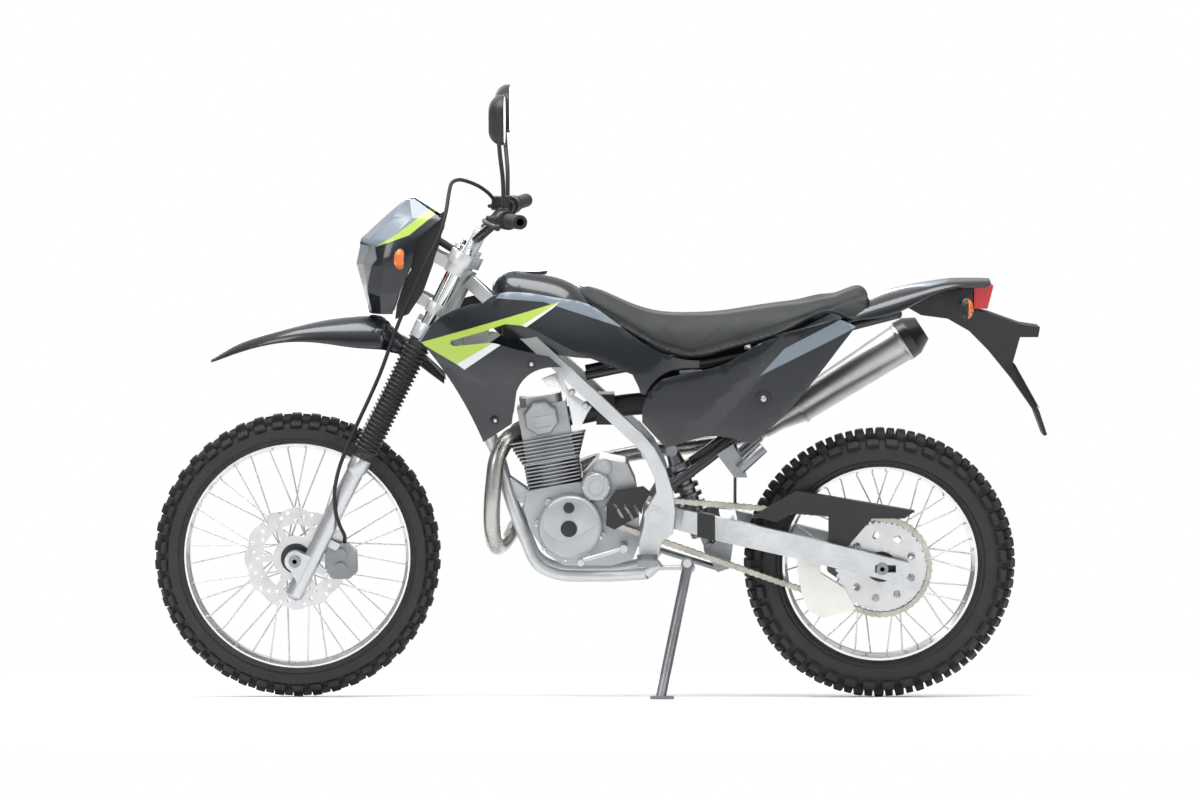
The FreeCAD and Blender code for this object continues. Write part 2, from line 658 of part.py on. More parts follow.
def triple_clamps():
    """Both clamps on their stem, with the two risers and caps that hold the bar."""
    lower = clamp_plate(LOWER_CLAMP_LOW, LOWER_CLAMP_WALL)
    upper = clamp_plate(UPPER_CLAMP_LOW, UPPER_CLAMP_WALL)
    top = UPPER_CLAMP_LOW + UPPER_CLAMP_WALL
    stem = Part.makeCylinder(STEM_RADIUS, top - LOWER_CLAMP_LOW, vec(0, 0, LOWER_CLAMP_LOW))
    nut = Part.makeCylinder(STEM_NUT_RADIUS, STEM_NUT_WALL, vec(0, 0, top), Z_WAY)
    risers = []
    for side in (1, -1):
        post_height = BAR_S + BAR_RADIUS + CLAMP_CAP_WALL - top
        post = Part.makeCylinder(RISER_RADIUS, post_height, vec(BAR_F, side * RISER_Y, top))
        risers.append(post)
    whole = joined([lower, upper, stem, nut] + risers)
    bar_hole = Part.makeCylinder(BAR_RADIUS + SLIDE_GAP, BAR_WIDTH, vec(BAR_F, -BAR_WIDTH / 2, BAR_S), Y_WAY)
    return in_fork(whole.cut(bar_hole))


FENDER_POST_RADIUS = 8.0
FENDER_POST_REACH = 62.0
FENDER_POST_Y = 24.0
FENDER_POST_PLACES = [4.0, 34.0]


def fender_posts(fender):
    """Posts under the lower clamp that carry the front mudguard."""
    posts = []
    for f in FENDER_POST_PLACES:
        for side in (1, -1):
            start = fork_point(LOWER_CLAMP_LOW + OVERRUN, f, side * FENDER_POST_Y)
            post = rod(start, start - UP_FORK * FENDER_POST_REACH, FENDER_POST_RADIUS)
            posts.append(largest(post.cut(fender)))
    return posts


CLAMP_CAP_WALL = 8.0
BAR_END_X = 154.0
BAR_END_Z = 1156.0
BAR_BEND_X = 205.0
BAR_BEND_Y = 210.0
BAR_BEND_Z = 1150.0
BAR_FOOT_Y = 98.0
BAR_BEND_SHARE = 0.22
GRIP_LENGTH = 122.0
GRIP_RADIUS = 16.5
GRIP_FLANGE_RADIUS = 22.0
GRIP_FLANGE_WALL = 5.0


def bar_points():
    right_half = [vec(BAR_END_X, BAR_WIDTH / 2, BAR_END_Z), vec(BAR_BEND_X, BAR_BEND_Y, BAR_BEND_Z),
                  fork_point(BAR_S, BAR_F, BAR_FOOT_Y)]
    return right_half + [vec(p.x, -p.y, p.z) for p in reversed(right_half)]


def handlebar():
    """A bent bar, hollow at both ends, in five lengths that meet face to face."""
    bar = tube(bar_points(), BAR_RADIUS, None, BAR_BEND_SHARE)
    end = bar_points()[0]
    bore = rod(end - grip_way() * OVERRUN, end + grip_way() * BAR_BORE_DEPTH, BAR_RADIUS - BAR_WALL)
    bar = bar.cut(bore).cut(other_side(bore))
    left_marks = [BAR_WIDTH, BAR_WIDTH / 2 - BAR_END_LENGTH, BAR_FOOT_Y]
    marks = left_marks + [-y for y in reversed(left_marks)]
    return apart([bar.common(box(-WHEELBASE, WHEELBASE, low, high, 0, WHEELBASE)) for high, low in zip(marks, marks[1:])])


def grip_way():
    end, bend = bar_points()[:2]
    return (bend - end).normalize()


def grips():
    """Ribbed grips with a flange at their inner ends."""
    bore = BAR_RADIUS + SLIDE_GAP
    flange = GRIP_LENGTH - GRIP_FLANGE_WALL
    profile = [(0, bore), (0, GRIP_RADIUS), (flange, GRIP_RADIUS), (flange, GRIP_FLANGE_RADIUS),
               (GRIP_LENGTH, GRIP_FLANGE_RADIUS), (GRIP_LENGTH, bore)]
    return both_sides(turned_about(bar_points()[0], grip_way(), profile))


PERCH_AT = 158.0
PERCH_LENGTH = 26.0
PERCH_RADIUS = 17.0
SWITCH_AT = 128.0
SWITCH_LENGTH = 27.0
SWITCH_RADIUS = 22.0
LEVER_REACH = 56.0
LEVER_RADIUS = 5.0
LEVER_ARM_RADIUS = 10.0
LEVER_BALL = 8.0
LEVER_TIP_AT = 12.0
LEVER_BEND_AT = 95.0
LEVER_DROP = 12.0
RESERVOIR_HALF = 21.0
RESERVOIR_HEIGHT = 26.0
MIRROR_BASE = 9.0


def controls():
    """Switch blocks, lever perches and levers, with the brake's fluid reservoir on the right."""
    end = bar_points()[0]
    way = grip_way()
    fore = Z_WAY.cross(way).normalize()
    if fore.x < 0:
        fore = fore * -1
    switch = rod(end + way * SWITCH_AT, end + way * (SWITCH_AT + SWITCH_LENGTH), SWITCH_RADIUS)
    perch = rod(end + way * PERCH_AT, end + way * (PERCH_AT + PERCH_LENGTH), PERCH_RADIUS)
    root = end + way * (PERCH_AT + PERCH_LENGTH / 2)
    pivot = root + fore * LEVER_REACH * LEVER_ROOT_SHARE
    arm = rod(root, pivot, LEVER_ARM_RADIUS)
    bend = end + way * LEVER_BEND_AT + fore * LEVER_REACH - Z_WAY * LEVER_DROP / 2
    tip = end + way * LEVER_TIP_AT + fore * LEVER_REACH * LEVER_TIP_SHARE - Z_WAY * LEVER_DROP
    lever = tube([root + fore * PERCH_RADIUS, pivot + fore * LEVER_BALL, bend, tip], LEVER_RADIUS)
    ball = Part.makeSphere(LEVER_BALL, tip)
    socket = rod(root, root + Z_WAY * (PERCH_RADIUS + MIRROR_BASE), MIRROR_BASE)
    bar = tube(bar_points(), BAR_RADIUS + SEAT_GAP, None, BAR_BEND_SHARE)
    left = joined([switch, perch, arm, lever, ball, socket]).cut(bar)
    pot = Part.makeBox(RESERVOIR_HALF * 2, RESERVOIR_HALF * 2, RESERVOIR_HEIGHT)
    pot.translate(root + fore * (PERCH_RADIUS - RESERVOIR_HALF / 2) + vec(-RESERVOIR_HALF / 2, -RESERVOIR_HALF * 2, 0))
    right = other_side(joined([switch, perch, arm, lever, ball, socket, pot]).cut(bar))
    return apart([left, right])


LEVER_ROOT_SHARE = 0.7
LEVER_TIP_SHARE = 0.9


def mirror_root():
    way = grip_way()
    rise = PERCH_RADIUS + MIRROR_BASE + MIRROR_SEAT
    return bar_points()[0] + way * (PERCH_AT + PERCH_LENGTH / 2) + Z_WAY * rise


MIRROR_STEM_RADIUS = 5.0
MIRROR_SEAT = 0.9
MIRROR_RISE = 205.0
MIRROR_SPREAD = 72.0
MIRROR_FORWARD = 10.0
MIRROR_HALF_WIDTH = 74.0
MIRROR_HALF_HEIGHT = 56.0
MIRROR_DEPTH = 36.0
MIRROR_RIM_SHARES = [(1.0, 0.1), (0.92, 0.72), (0.45, 1.0), (-0.4, 0.95), (-0.92, 0.6), (-1.0, -0.15),
                     (-0.72, -0.85), (0.0, -1.0), (0.78, -0.82)]
MIRROR_DEPTH_SHARES = [(0.0, 1.0), (0.45, 0.97), (0.8, 0.8), (1.0, 0.5)]
GLASS_WALL = 2.5
GLASS_SHARE = 0.93


def mirror_rim(centre, along, share):
    places = [centre + vec(along, y * MIRROR_HALF_WIDTH * share, z * MIRROR_HALF_HEIGHT * share)
              for y, z in MIRROR_RIM_SHARES]
    curve = Part.BSplineCurve()
    curve.interpolate(places, PeriodicFlag=True)
    return Part.Wire(curve.toShape())


def mirror_centre():
    return mirror_root() + vec(MIRROR_FORWARD, MIRROR_SPREAD, MIRROR_RISE)


def mirrors():
    """Round stems that carry domed shells, open at the rear for the glass."""
    centre = mirror_centre()
    wires = [mirror_rim(centre, MIRROR_DEPTH * (along - MIRROR_MIDDLE_SHARE), share)
             for along, share in MIRROR_DEPTH_SHARES]
    shell = Part.makeLoft(wires, True, False)
    glass_room = Part.Face(mirror_rim(centre, -MIRROR_DEPTH * MIRROR_MIDDLE_SHARE, GLASS_SHARE))
    shell = shell.cut(glass_room.extrude(vec(GLASS_WALL, 0, 0)))
    root = mirror_root()
    low = root + vec(0, MIRROR_SPREAD * 0.12, MIRROR_RISE * 0.3)
    high = root + vec(MIRROR_FORWARD * 0.7, MIRROR_SPREAD * 0.75, MIRROR_RISE * 0.62)
    stem = tube([root, low, high, centre - Z_WAY * MIRROR_HALF_HEIGHT * 0.6], MIRROR_STEM_RADIUS)
    return both_sides(joined([shell, stem.cut(glass_room.extrude(vec(GLASS_WALL, 0, 0)))]))


MIRROR_MIDDLE_SHARE = 0.4


def mirror_glasses():
    face = Part.Face(mirror_rim(mirror_centre(), -MIRROR_DEPTH * MIRROR_MIDDLE_SHARE, GLASS_SHARE * GLASS_FIT_SHARE))
    return both_sides(face.extrude(vec(GLASS_WALL - SEAT_GAP, 0, 0)))


GLASS_FIT_SHARE = 0.99


# Front body: cowl, lamp, gauge, mudguard and indicators, all carried by the clamps
COWL_LEVEL_SHARES = [(1.302, 0.313, 0.296, 0.022), (1.255, 0.348, 0.250, 0.046), (1.200, 0.388, 0.292, 0.060),
                     (1.136, 0.397, 0.300, 0.066), (1.062, 0.384, 0.322, 0.061), (1.007, 0.374, 0.334, 0.040)]
COWL_ROUND_SHARES = [(0.0, 1.0), (0.12, 0.72), (0.42, 0.93)]
COWL_PLAN_SHARES = [(0.0, 1.0), (0.50, 0.98), (0.86, 0.66), (1.0, 0.26)]
LENS_SHARES = [(-0.048, 1.186), (0.048, 1.186), (0.056, 1.150), (0.036, 1.050), (0.020, 1.026),
               (-0.020, 1.026), (-0.036, 1.050), (-0.056, 1.150)]
LENS_WALL = 6.0
LENS_DEPTH = 70.0


def cowl_section(level, inset):
    """A level section of the cowl: flats from each rear edge round to a narrow face."""
    z_share, fore_share, rear_share, half_share = level
    fore = fore_share * WHEELBASE - inset
    rear = rear_share * WHEELBASE
    half = half_share * WHEELBASE - inset
    depth = fore - rear
    left = [vec(rear + depth * along, half * across, z_share * SEAT_HEIGHT) for along, across in COWL_PLAN_SHARES]
    corners = left + [vec(p.x, -p.y, p.z) for p in reversed(left)]
    return list(zip(corners, corners[1:] + corners[:1]))


def cowl_form(inset):
    return loft_through([cowl_section(level, inset) for level in reversed(COWL_LEVEL_SHARES)], True)


def lens_prism(grow):
    places = []
    for y_share, z_share in LENS_SHARES:
        y = y_share * WHEELBASE
        middle = LENS_MIDDLE_SHARE * SEAT_HEIGHT
        z = z_share * SEAT_HEIGHT
        places.append(vec(0, y + math.copysign(grow, y), z + math.copysign(grow, z - middle)))
    face = Part.Face(Part.makePolygon(places + places[:1]))
    return face.extrude(vec(WHEELBASE, 0, 0))


LENS_MIDDLE_SHARE = 1.106


def headlight_cowl():
    """The lamp mask: a shell open to the rear, with the lamp's window in its face."""
    shell = cowl_form(0).cut(cowl_form(PANEL_WALL).translated(vec(-PANEL_WALL, 0, 0)))
    return largest(shell.cut(lens_prism(0)))


def headlight_lens():
    """The lamp's lens and the bowl behind it."""
    skin = cowl_form(PANEL_WALL / 2).common(lens_prism(-SEAT_GAP))
    rear = LENS_REAR_SHARE * WHEELBASE
    keep = box(rear, WHEELBASE, -BAR_WIDTH, BAR_WIDTH, 0, SEAT_HEIGHT * 2)
    return largest(skin.common(keep).cut(headlight_cowl()))


LENS_REAR_SHARE = 0.3347
STAY_WALL = 6.0
STAY_HEIGHT = 26.0
STAY_Y = 56.0
STAY_PLACES = [668.0, 772.0]


def headlight_stays():
    """Arms from a ring round each leg, between the clamps, to the back of the lamp."""
    pieces = []
    lamp_rear = LENS_REAR_SHARE * WHEELBASE
    for s in STAY_PLACES:
        band = Part.makeCylinder(TUBE_RADIUS + STAY_WALL, STAY_HEIGHT, vec(CLAMP_OFFSET, LEG_Y, s))
        root = fork_point(s, CLAMP_OFFSET, 0)
        reach = (lamp_rear - root.x) / FORE_FORK.x
        arm = Part.makeBox(reach, STAY_WALL, STAY_HEIGHT)
        arm.translate(vec(CLAMP_OFFSET, STAY_Y - STAY_WALL / 2, s))
        link = Part.makeBox(STAY_WALL, LEG_Y - STAY_Y, STAY_HEIGHT)
        link.translate(vec(CLAMP_OFFSET + TUBE_RADIUS, STAY_Y, s))
        pieces.append(joined([band, arm, link]))
    whole = in_fork(apart(pieces))
    leg = rod(fork_point(LOWER_CLAMP_LOW, CLAMP_OFFSET, LEG_Y), fork_point(TUBE_TOP, CLAMP_OFFSET, LEG_Y),
              TUBE_RADIUS + SLIDE_GAP)
    return both_sides(whole.cut(leg).cut(headlight_lens()))


GAUGE_SHARES = [(0.3000, 1.252), (0.2850, 1.272), (0.2450, 1.232), (0.2520, 1.206), (0.2740, 1.202)]
GAUGE_HALF_WIDTH = 46.0


def gauge():
    """The meter's case, with a raised rim round its face."""
    outline = stations(GAUGE_SHARES)
    case = slab(outline, -GAUGE_HALF_WIDTH, GAUGE_HALF_WIDTH)
    case = case.makeFillet(GAUGE_ROUND, [edge for edge in case.Edges if abs(edge.tangentAt(0).y) < 0.5])
    foot_end = fork_point(UPPER_CLAMP_LOW + UPPER_CLAMP_WALL / 2, CLAMP_OFFSET + CLAMP_EAR_RADIUS, 0)
    feet = [rod(vec(outline[4][0] + GAUGE_ROUND, side * GAUGE_HALF_WIDTH / 2, outline[4][1] + GAUGE_ROUND * 2),
                foot_end + vec(0, side * GAUGE_HALF_WIDTH / 2, 0) - FORE_FORK * CLAMP_EAR_RADIUS, GAUGE_FOOT) for side in (1, -1)]
    return largest(joined([case] + feet).cut(triple_clamps()).cut(headlight_cowl()))


GAUGE_ROUND = 6.0
GAUGE_FOOT = 7.0
FENDER_SHARES = [(0.6460, 0.8840, 0.010, 0.004), (0.6100, 0.9190, 0.028, 0.018), (0.5640, 0.9500, 0.043, 0.026),
                 (0.5080, 0.9750, 0.053, 0.036), (0.4500, 0.9930, 0.058, 0.057), (0.3980, 1.0010, 0.058, 0.076),
                 (0.3660, 1.0010, 0.054, 0.080), (0.3360, 0.9760, 0.040, 0.066)]
FENDER_REAR_SHARES = [(0.3360, 0.9760, 0.040, 0.066), (0.3050, 0.9330, 0.038, 0.040), (0.2720, 0.8870, 0.037, 0.030),
                      (0.2460, 0.8500, 0.036, 0.022)]
FENDER_WALL = 3.0


def channel_section(x_share, z_share, half_share, drop_share, wall):
    """An arched section across the machine, as thick as the wall."""
    x = x_share * WHEELBASE
    z = z_share * SEAT_HEIGHT
    half = half_share * WHEELBASE
    drop = drop_share * SEAT_HEIGHT
    outer = [vec(x, half, z - drop), vec(x, half * 0.86, z - drop * 0.42), vec(x, half * 0.45, z - drop * 0.08),
             vec(x, 0, z), vec(x, -half * 0.45, z - drop * 0.08), vec(x, -half * 0.86, z - drop * 0.42),
             vec(x, -half, z - drop)]
    inner = [vec(x, (half - wall) * p.y / half, p.z - wall) for p in reversed(outer)]
    return [outer, [outer[-1], inner[0]], inner, [inner[-1], outer[0]]]


def front_fender():
    """A long raised mudguard: an arched beak ahead of the legs and a narrow tail between them."""
    beak = loft_through([channel_section(*row, FENDER_WALL) for row in FENDER_SHARES])
    tail = loft_through([channel_section(*row, FENDER_WALL) for row in FENDER_REAR_SHARES])
    return joined([beak, tail])


INDICATOR_X_SHARE = 0.317
INDICATOR_Z_SHARE = 1.158
INDICATOR_Y = 142.0
INDICATOR_LENGTH = 52.0
INDICATOR_RADIUS = 24.0
INDICATOR_FLAT = 0.62
STALK_RADIUS = 7.5


def indicator(x, z, root_y):
    """A bullet lamp on a rubber stalk. The stalk starts at root_y."""
    profile = [(0, INDICATOR_Y), (INDICATOR_RADIUS * 0.7, INDICATOR_Y), (INDICATOR_RADIUS, INDICATOR_Y + INDICATOR_LENGTH * 0.4),
               (INDICATOR_RADIUS * 0.94, INDICATOR_Y + INDICATOR_LENGTH * 0.75),
               (INDICATOR_RADIUS * 0.55, INDICATOR_Y + INDICATOR_LENGTH), (0, INDICATOR_Y + INDICATOR_LENGTH)]
    head = turned(0, 0, profile)
    flat = FreeCAD.Matrix()
    flat.scale(INDICATOR_FLAT, 1, 1)
    head = head.transformGeometry(flat).translated(vec(x, 0, z))
    stalk = cross_rod(x, z, STALK_RADIUS, root_y, INDICATOR_Y + OVERRUN)
    return joined([head, stalk])


def front_indicators():
    x = INDICATOR_X_SHARE * WHEELBASE
    z = INDICATOR_Z_SHARE * SEAT_HEIGHT
    half = COWL_LEVEL_SHARES[3][3] * WHEELBASE
    return both_sides(indicator(x, z, half - PANEL_WALL).cut(cowl_form(-SEAT_GAP)))


CALIPER_SHARES = [(0.4500, 0.345), (0.4500, 0.395), (0.4380, 0.418), (0.4130, 0.414), (0.3960, 0.392),
                  (0.3950, 0.340), (0.4090, 0.322), (0.4360, 0.322)]
CALIPER_SLOT = 7.0
CALIPER_INNER = 20.0
CALIPER_OUTER = 22.0
PISTON_RADIUS = 14.0


def front_caliper():
    """A two-piston sliding caliper with a slot for the disc, behind the left leg."""
    middle = FRONT_DISC_Y + DISC_WALL / 2
    body = slab(stations(CALIPER_SHARES), middle - CALIPER_INNER, middle + CALIPER_OUTER)
    slot = cross_rod(FRONT_AXLE_X, FRONT_AXLE_Z, FRONT_DISC_RADIUS + CALIPER_SLOT, middle - CALIPER_SLOT, middle + CALIPER_SLOT)
    body = body.cut(slot)
    x = sum(point[0] for point in stations(CALIPER_SHARES)) / len(CALIPER_SHARES)
    z = sum(point[1] for point in stations(CALIPER_SHARES)) / len(CALIPER_SHARES)
    pots = [cross_rod(x, z + side * PISTON_RADIUS * 1.2, PISTON_RADIUS, middle + CALIPER_OUTER - OVERRUN,
                      middle + CALIPER_OUTER + CALIPER_POT) for side in (1, -1)]
    return joined([body] + pots).cut(fork_lowers())


CALIPER_POT = 6.0
HOSE_RADIUS = 4.5
HOSE_POINTS = [(226.0, -208.1, 1169.0), (226.0, -190.0, 1169.0), (238.0, -172.0, 1187.0), (262.0, -150.0, 1206.0),
               (288.0, -118.0, 1219.0), (308.0, -80.0, 1226.0),
               (324.0, -28.0, 1222.0), (328.0, 28.0, 1200.0), (334.0, 68.0, 1152.0), (352.0, 86.0, 1095.0),
               (386.0, 90.0, 1034.0), (412.0, 88.0, 974.0), (440.0, 84.0, 912.0), (464.0, 83.0, 848.0),
               (486.0, 84.0, 785.0), (513.0, 85.0, 724.0), (542.0, 87.0, 663.0), (568.0, 90.0, 606.0),
               (588.0, 100.0, 552.0), (597.0, 119.0, 502.0), (593.0, 131.0, 455.0), (582.0, 124.0, 420.0),
               (575.0, 100.0, 402.0), (574.0, 82.0, 392.0), (574.0, 79.0, 378.3)]


def brake_hose():
    """The front brake's hose, from the lever down ahead of the left boot to the caliper."""
    return tube([vec(*point) for point in HOSE_POINTS], HOSE_RADIUS)


# Side stand: pivot, the way it points when down, and how far it swings up
STAND_PIVOT_SHARE = (-0.169, 0.363)
STAND_PIVOT_Y = 120.0
STAND_LENGTH = 318.0
STAND_RADIUS = 12.0
STAND_WALL = 3.0
STAND_DOWN = vec(0.20, 0.33, -0.92)
STAND_UP = vec(-1.0, 0.100, 0.0)
STAND_FOOT_HALF = 24.0
STAND_FOOT_WALL = 8.0
STAND_EYE_RADIUS = 15.0
STAND_EYE_WALL = 29.0


def stand_pivot():
    x_share, z_share = STAND_PIVOT_SHARE
    return vec(x_share * WHEELBASE, STAND_PIVOT_Y, z_share * SEAT_HEIGHT)


def stand_ways():
    down = vec(STAND_DOWN.x, STAND_DOWN.y, STAND_DOWN.z).normalize()
    up = vec(STAND_UP.x, STAND_UP.y, STAND_UP.z).normalize()
    axis = down.cross(up).normalize()
    return down, up, axis


def stand_swing_deg():
    down, up, axis = stand_ways()
    return math.degrees(down.getAngle(up))


# Lean: the machine turns to its left about the line where its tyres meet the ground
def leaned(shape):
    moved = shape.copy()
    moved.rotate(vec(0, 0, 0), X_WAY, -LEAN_DEG)
    return moved


def unleaned(shape):
    moved = shape.copy()
    moved.rotate(vec(0, 0, 0), X_WAY, LEAN_DEG)
    return moved


def ground_level(tyres):
    """How low the tyres reach once leaned, which is where the stand's foot must rest."""
    return min(leaned(shape).BoundBox.ZMin for shape in tyres)


def stand_foot_place(ground):
    down, up, axis = stand_ways()
    turn = FreeCAD.Rotation(X_WAY, -LEAN_DEG)
    pivot_low = turn.multVec(stand_pivot())
    down_low = turn.multVec(down)
    length = (pivot_low.z - ground) / -down_low.z
    return pivot_low + down_low * length, length


def side_stand(ground):
    """A tube from its pivot eye to a flat foot that lies on the ground."""
    down, up, axis = stand_ways()
    pivot = stand_pivot()
    foot_place, length = stand_foot_place(ground)
    tip = pivot + down * length
    eye = rod(pivot - axis * STAND_EYE_WALL / 2, pivot + axis * STAND_EYE_WALL / 2, STAND_EYE_RADIUS)
    leg = rod(pivot + down * STAND_EYE_RADIUS / 2, tip, STAND_RADIUS)
    foot = box(foot_place.x - STAND_FOOT_HALF * 1.3, foot_place.x + STAND_FOOT_HALF, foot_place.y - STAND_FOOT_HALF * 0.8,
               foot_place.y + STAND_FOOT_HALF, ground, ground + STAND_FOOT_WALL)
    soil = box(-WHEELBASE, WHEELBASE, -WHEELBASE, WHEELBASE, ground - WHEELBASE, ground)
    pin = rod(pivot - axis * STAND_EYE_WALL, pivot + axis * STAND_EYE_WALL, STAND_PIN_RADIUS + SLIDE_GAP)
    return joined([eye, leg, unleaned(foot)]).cut(unleaned(soil)).cut(pin)


STAND_PIN_RADIUS = 6.0
STAND_PIN_HEAD = 10.0
STAND_PIN_HEAD_WALL = 4.0
STAND_SIDE_GAP = 0.5
STAND_BRACKET_WALL = 14.0
STAND_ARM_RADIUS = 6.0

# Frame
HEAD_TUBE_RADIUS = 27.0
SPAR_SHARES = [(0.206, 1.094, 0.022, 0.011), (0.1145, 0.967, 0.052, 0.0125), (0.034, 0.856, 0.071, 0.0135),
               (-0.080, 0.6955, 0.0755, 0.013)]
SPAR_HALF_HEIGHT = 15.0
SPAR_SLOPE_DEG = 42.5
CASTING_SHARES = [(-0.0870, 0.7120), (-0.0710, 0.6860), (-0.0940, 0.6480), (-0.1120, 0.5910), (-0.1150, 0.5490),
                  (-0.1020, 0.5180), (-0.0950, 0.4910), (-0.0930, 0.4620), (-0.0860, 0.4220), (-0.0860, 0.3800),
                  (-0.1160, 0.3720), (-0.1250, 0.4220), (-0.1440, 0.4450), (-0.1480, 0.5020), (-0.1440, 0.5540),
                  (-0.1320, 0.6110), (-0.1130, 0.6670)]
CASTING_INNER_Y = 95.0
CASTING_OUTER_Y = 117.0
CASTING_ROUND = 4.0
PIVOT_SHARE = (-0.1109, 0.4912)
PIVOT_BOSS_RADIUS = 22.0
PIVOT_BOSS_WALL = 5.0
PIVOT_PIN_RADIUS = 9.0
CRADLE_RADIUS = 13.5
DOWN_TUBE_RADIUS = 17.0
DOWN_TUBE_SHARES = [(0.2280, 0.950), (0.1720, 0.690), (0.1540, 0.635)]
CRADLE_SHARES = [(0.1540, 0.635, 0.006), (0.1350, 0.522, 0.033), (0.0900, 0.352, 0.045), (0.0480, 0.326, 0.046),
                 (-0.0440, 0.326, 0.048), (-0.1000, 0.338, 0.072)]
CROSS_TUBE_RADIUS = 14.0


def side_point(x_share, z_share, y_share):
    return vec(x_share * WHEELBASE, y_share * WHEELBASE, z_share * SEAT_HEIGHT)


def pivot_place():
    return side_point(PIVOT_SHARE[0], PIVOT_SHARE[1], 0)


def head_tube():
    low = LOWER_CLAMP_LOW + LOWER_CLAMP_WALL + HEAD_TUBE_GAP
    high = UPPER_CLAMP_LOW - HEAD_TUBE_GAP
    return low, high


def frame():
    """Head tube, box spars, cast pivot plates, and the down tube that splits into a cradle."""
    low, high = head_tube()
    whole_tube = rod(fork_point(low, 0, 0), fork_point(high, 0, 0), HEAD_TUBE_RADIUS)
    rows = [(x * WHEELBASE, y * WHEELBASE, z * SEAT_HEIGHT, SPAR_HALF_HEIGHT, w * WHEELBASE, SPAR_SLOPE_DEG)
            for x, z, y, w in SPAR_SHARES]
    spar = beam(rows)
    casting = slab(stations(CASTING_SHARES), CASTING_INNER_Y, CASTING_OUTER_Y)
    casting = casting.makeFillet(CASTING_ROUND, [e for e in casting.Edges if abs(e.tangentAt(0).y) < 0.5
                                                 and e.CenterOfMass.y > CASTING_OUTER_Y - CASTING_ROUND])
    pivot = pivot_place()
    boss = cross_rod(pivot.x, pivot.z, PIVOT_BOSS_RADIUS, CASTING_INNER_Y, CASTING_OUTER_Y + PIVOT_BOSS_WALL)
    cradle = tube([side_point(*share) for share in CRADLE_SHARES], CRADLE_RADIUS)
    end = side_point(*CRADLE_SHARES[-1])
    foot = rod(end, vec(end.x - CRADLE_RADIUS * 2, CASTING_INNER_Y + CRADLE_RADIUS, end.z + CRADLE_RADIUS * 2), CRADLE_RADIUS)
    mount = slab(stations(FRONT_MOUNT_SHARES), FRONT_MOUNT_Y, FRONT_MOUNT_Y + MOUNT_WALL).cut(crankcase())
    half = joined([spar, casting, boss, cradle, foot, largest(mount)])
    down = tube([vec(x, 0, z) for x, z in stations(DOWN_TUBE_SHARES)], DOWN_TUBE_RADIUS)
    gusset = slab(stations(GUSSET_SHARES), -GUSSET_HALF, GUSSET_HALF)
    x, z = stations([CROSS_TUBE_SHARE])[0]
    upper_cross = cross_rod(x, z, CROSS_TUBE_RADIUS, -CASTING_INNER_Y - OVERRUN, CASTING_INNER_Y + OVERRUN)
    x, z = stations([LOWER_CROSS_SHARE])[0]
    lower_cross = cross_rod(x, z, CROSS_TUBE_RADIUS, -CASTING_INNER_Y - OVERRUN, CASTING_INNER_Y + OVERRUN)
    whole = joined([whole_tube, half, other_side(half), down, gusset, upper_cross, lower_cross] + stand_mount())
    bore = rod(fork_point(low - OVERRUN, 0, 0), fork_point(high + OVERRUN, 0, 0), STEM_RADIUS + SLIDE_GAP)
    pin = cross_rod(pivot.x, pivot.z, PIVOT_PIN_RADIUS + SLIDE_GAP, -BAR_WIDTH, BAR_WIDTH)
    return whole.cut(bore).cut(pin)


GUSSET_SHARES = [(0.2400, 1.040), (0.1700, 0.960), (0.2000, 0.800), (0.2230, 0.930)]
GUSSET_HALF = 8.0
FRONT_MOUNT_SHARES = [(0.1464, 0.5912), (0.1464, 0.5352), (0.0840, 0.4900), (0.0840, 0.5250)]
FRONT_MOUNT_Y = 24.0
MOUNT_WALL = 6.0
CROSS_TUBE_SHARE = (-0.1000, 0.6500)
LOWER_CROSS_SHARE = (-0.1010, 0.3900)


def stand_mount():
    """The bracket and bolt that the side stand turns on."""
    down, up, axis = stand_ways()
    pivot = stand_pivot()
    face = STAND_EYE_WALL / 2 + STAND_SIDE_GAP
    plate = rod(pivot - axis * (face + STAND_BRACKET_WALL), pivot - axis * face, STAND_EYE_RADIUS)
    pin = rod(pivot - axis * (face + STAND_BRACKET_WALL), pivot + axis * face, STAND_PIN_RADIUS)
    head = rod(pivot + axis * face, pivot + axis * (face + STAND_PIN_HEAD_WALL), STAND_PIN_HEAD)
    root = pivot - axis * (face + STAND_BRACKET_WALL / 2)
    cradle_end = side_point(*CRADLE_SHARES[-1])
    arm = rod(root, vec(cradle_end.x - CRADLE_RADIUS, root.y, cradle_end.z + CRADLE_RADIUS), STAND_ARM_RADIUS)
    return [plate, pin, head, arm]


SUBFRAME_RADIUS = 11.0
SEAT_RAIL_SHARES = [(0.0050, 0.8500, 0.058), (-0.0800, 0.8770, 0.056), (-0.1700, 0.8730, 0.056),
                    (-0.2750, 0.9060, 0.056), (-0.4350, 0.9730, 0.050), (-0.5260, 1.0070, 0.040)]
LOWER_RAIL_SHARES = [(-0.1330, 0.5600, 0.0770), (-0.1900, 0.6170, 0.0700), (-0.2500, 0.6900, 0.0640), (-0.3950, 0.9380, 0.0530)]


def subframe():
    """The seat rails and the braces below them, tied across at the rear."""
    upper = tube([side_point(*share) for share in SEAT_RAIL_SHARES], SUBFRAME_RADIUS)
    lower = tube([side_point(*share) for share in LOWER_RAIL_SHARES], SUBFRAME_RADIUS)
    half = joined([upper, lower])
    ties = []
    for index in SUBFRAME_TIES:
        place = side_point(*SEAT_RAIL_SHARES[index])
        ties.append(cross_rod(place.x, place.z, SUBFRAME_RADIUS, -place.y, place.y))
    return largest(joined([half, other_side(half)] + ties).cut(frame()))


SUBFRAME_TIES = [3, 5]

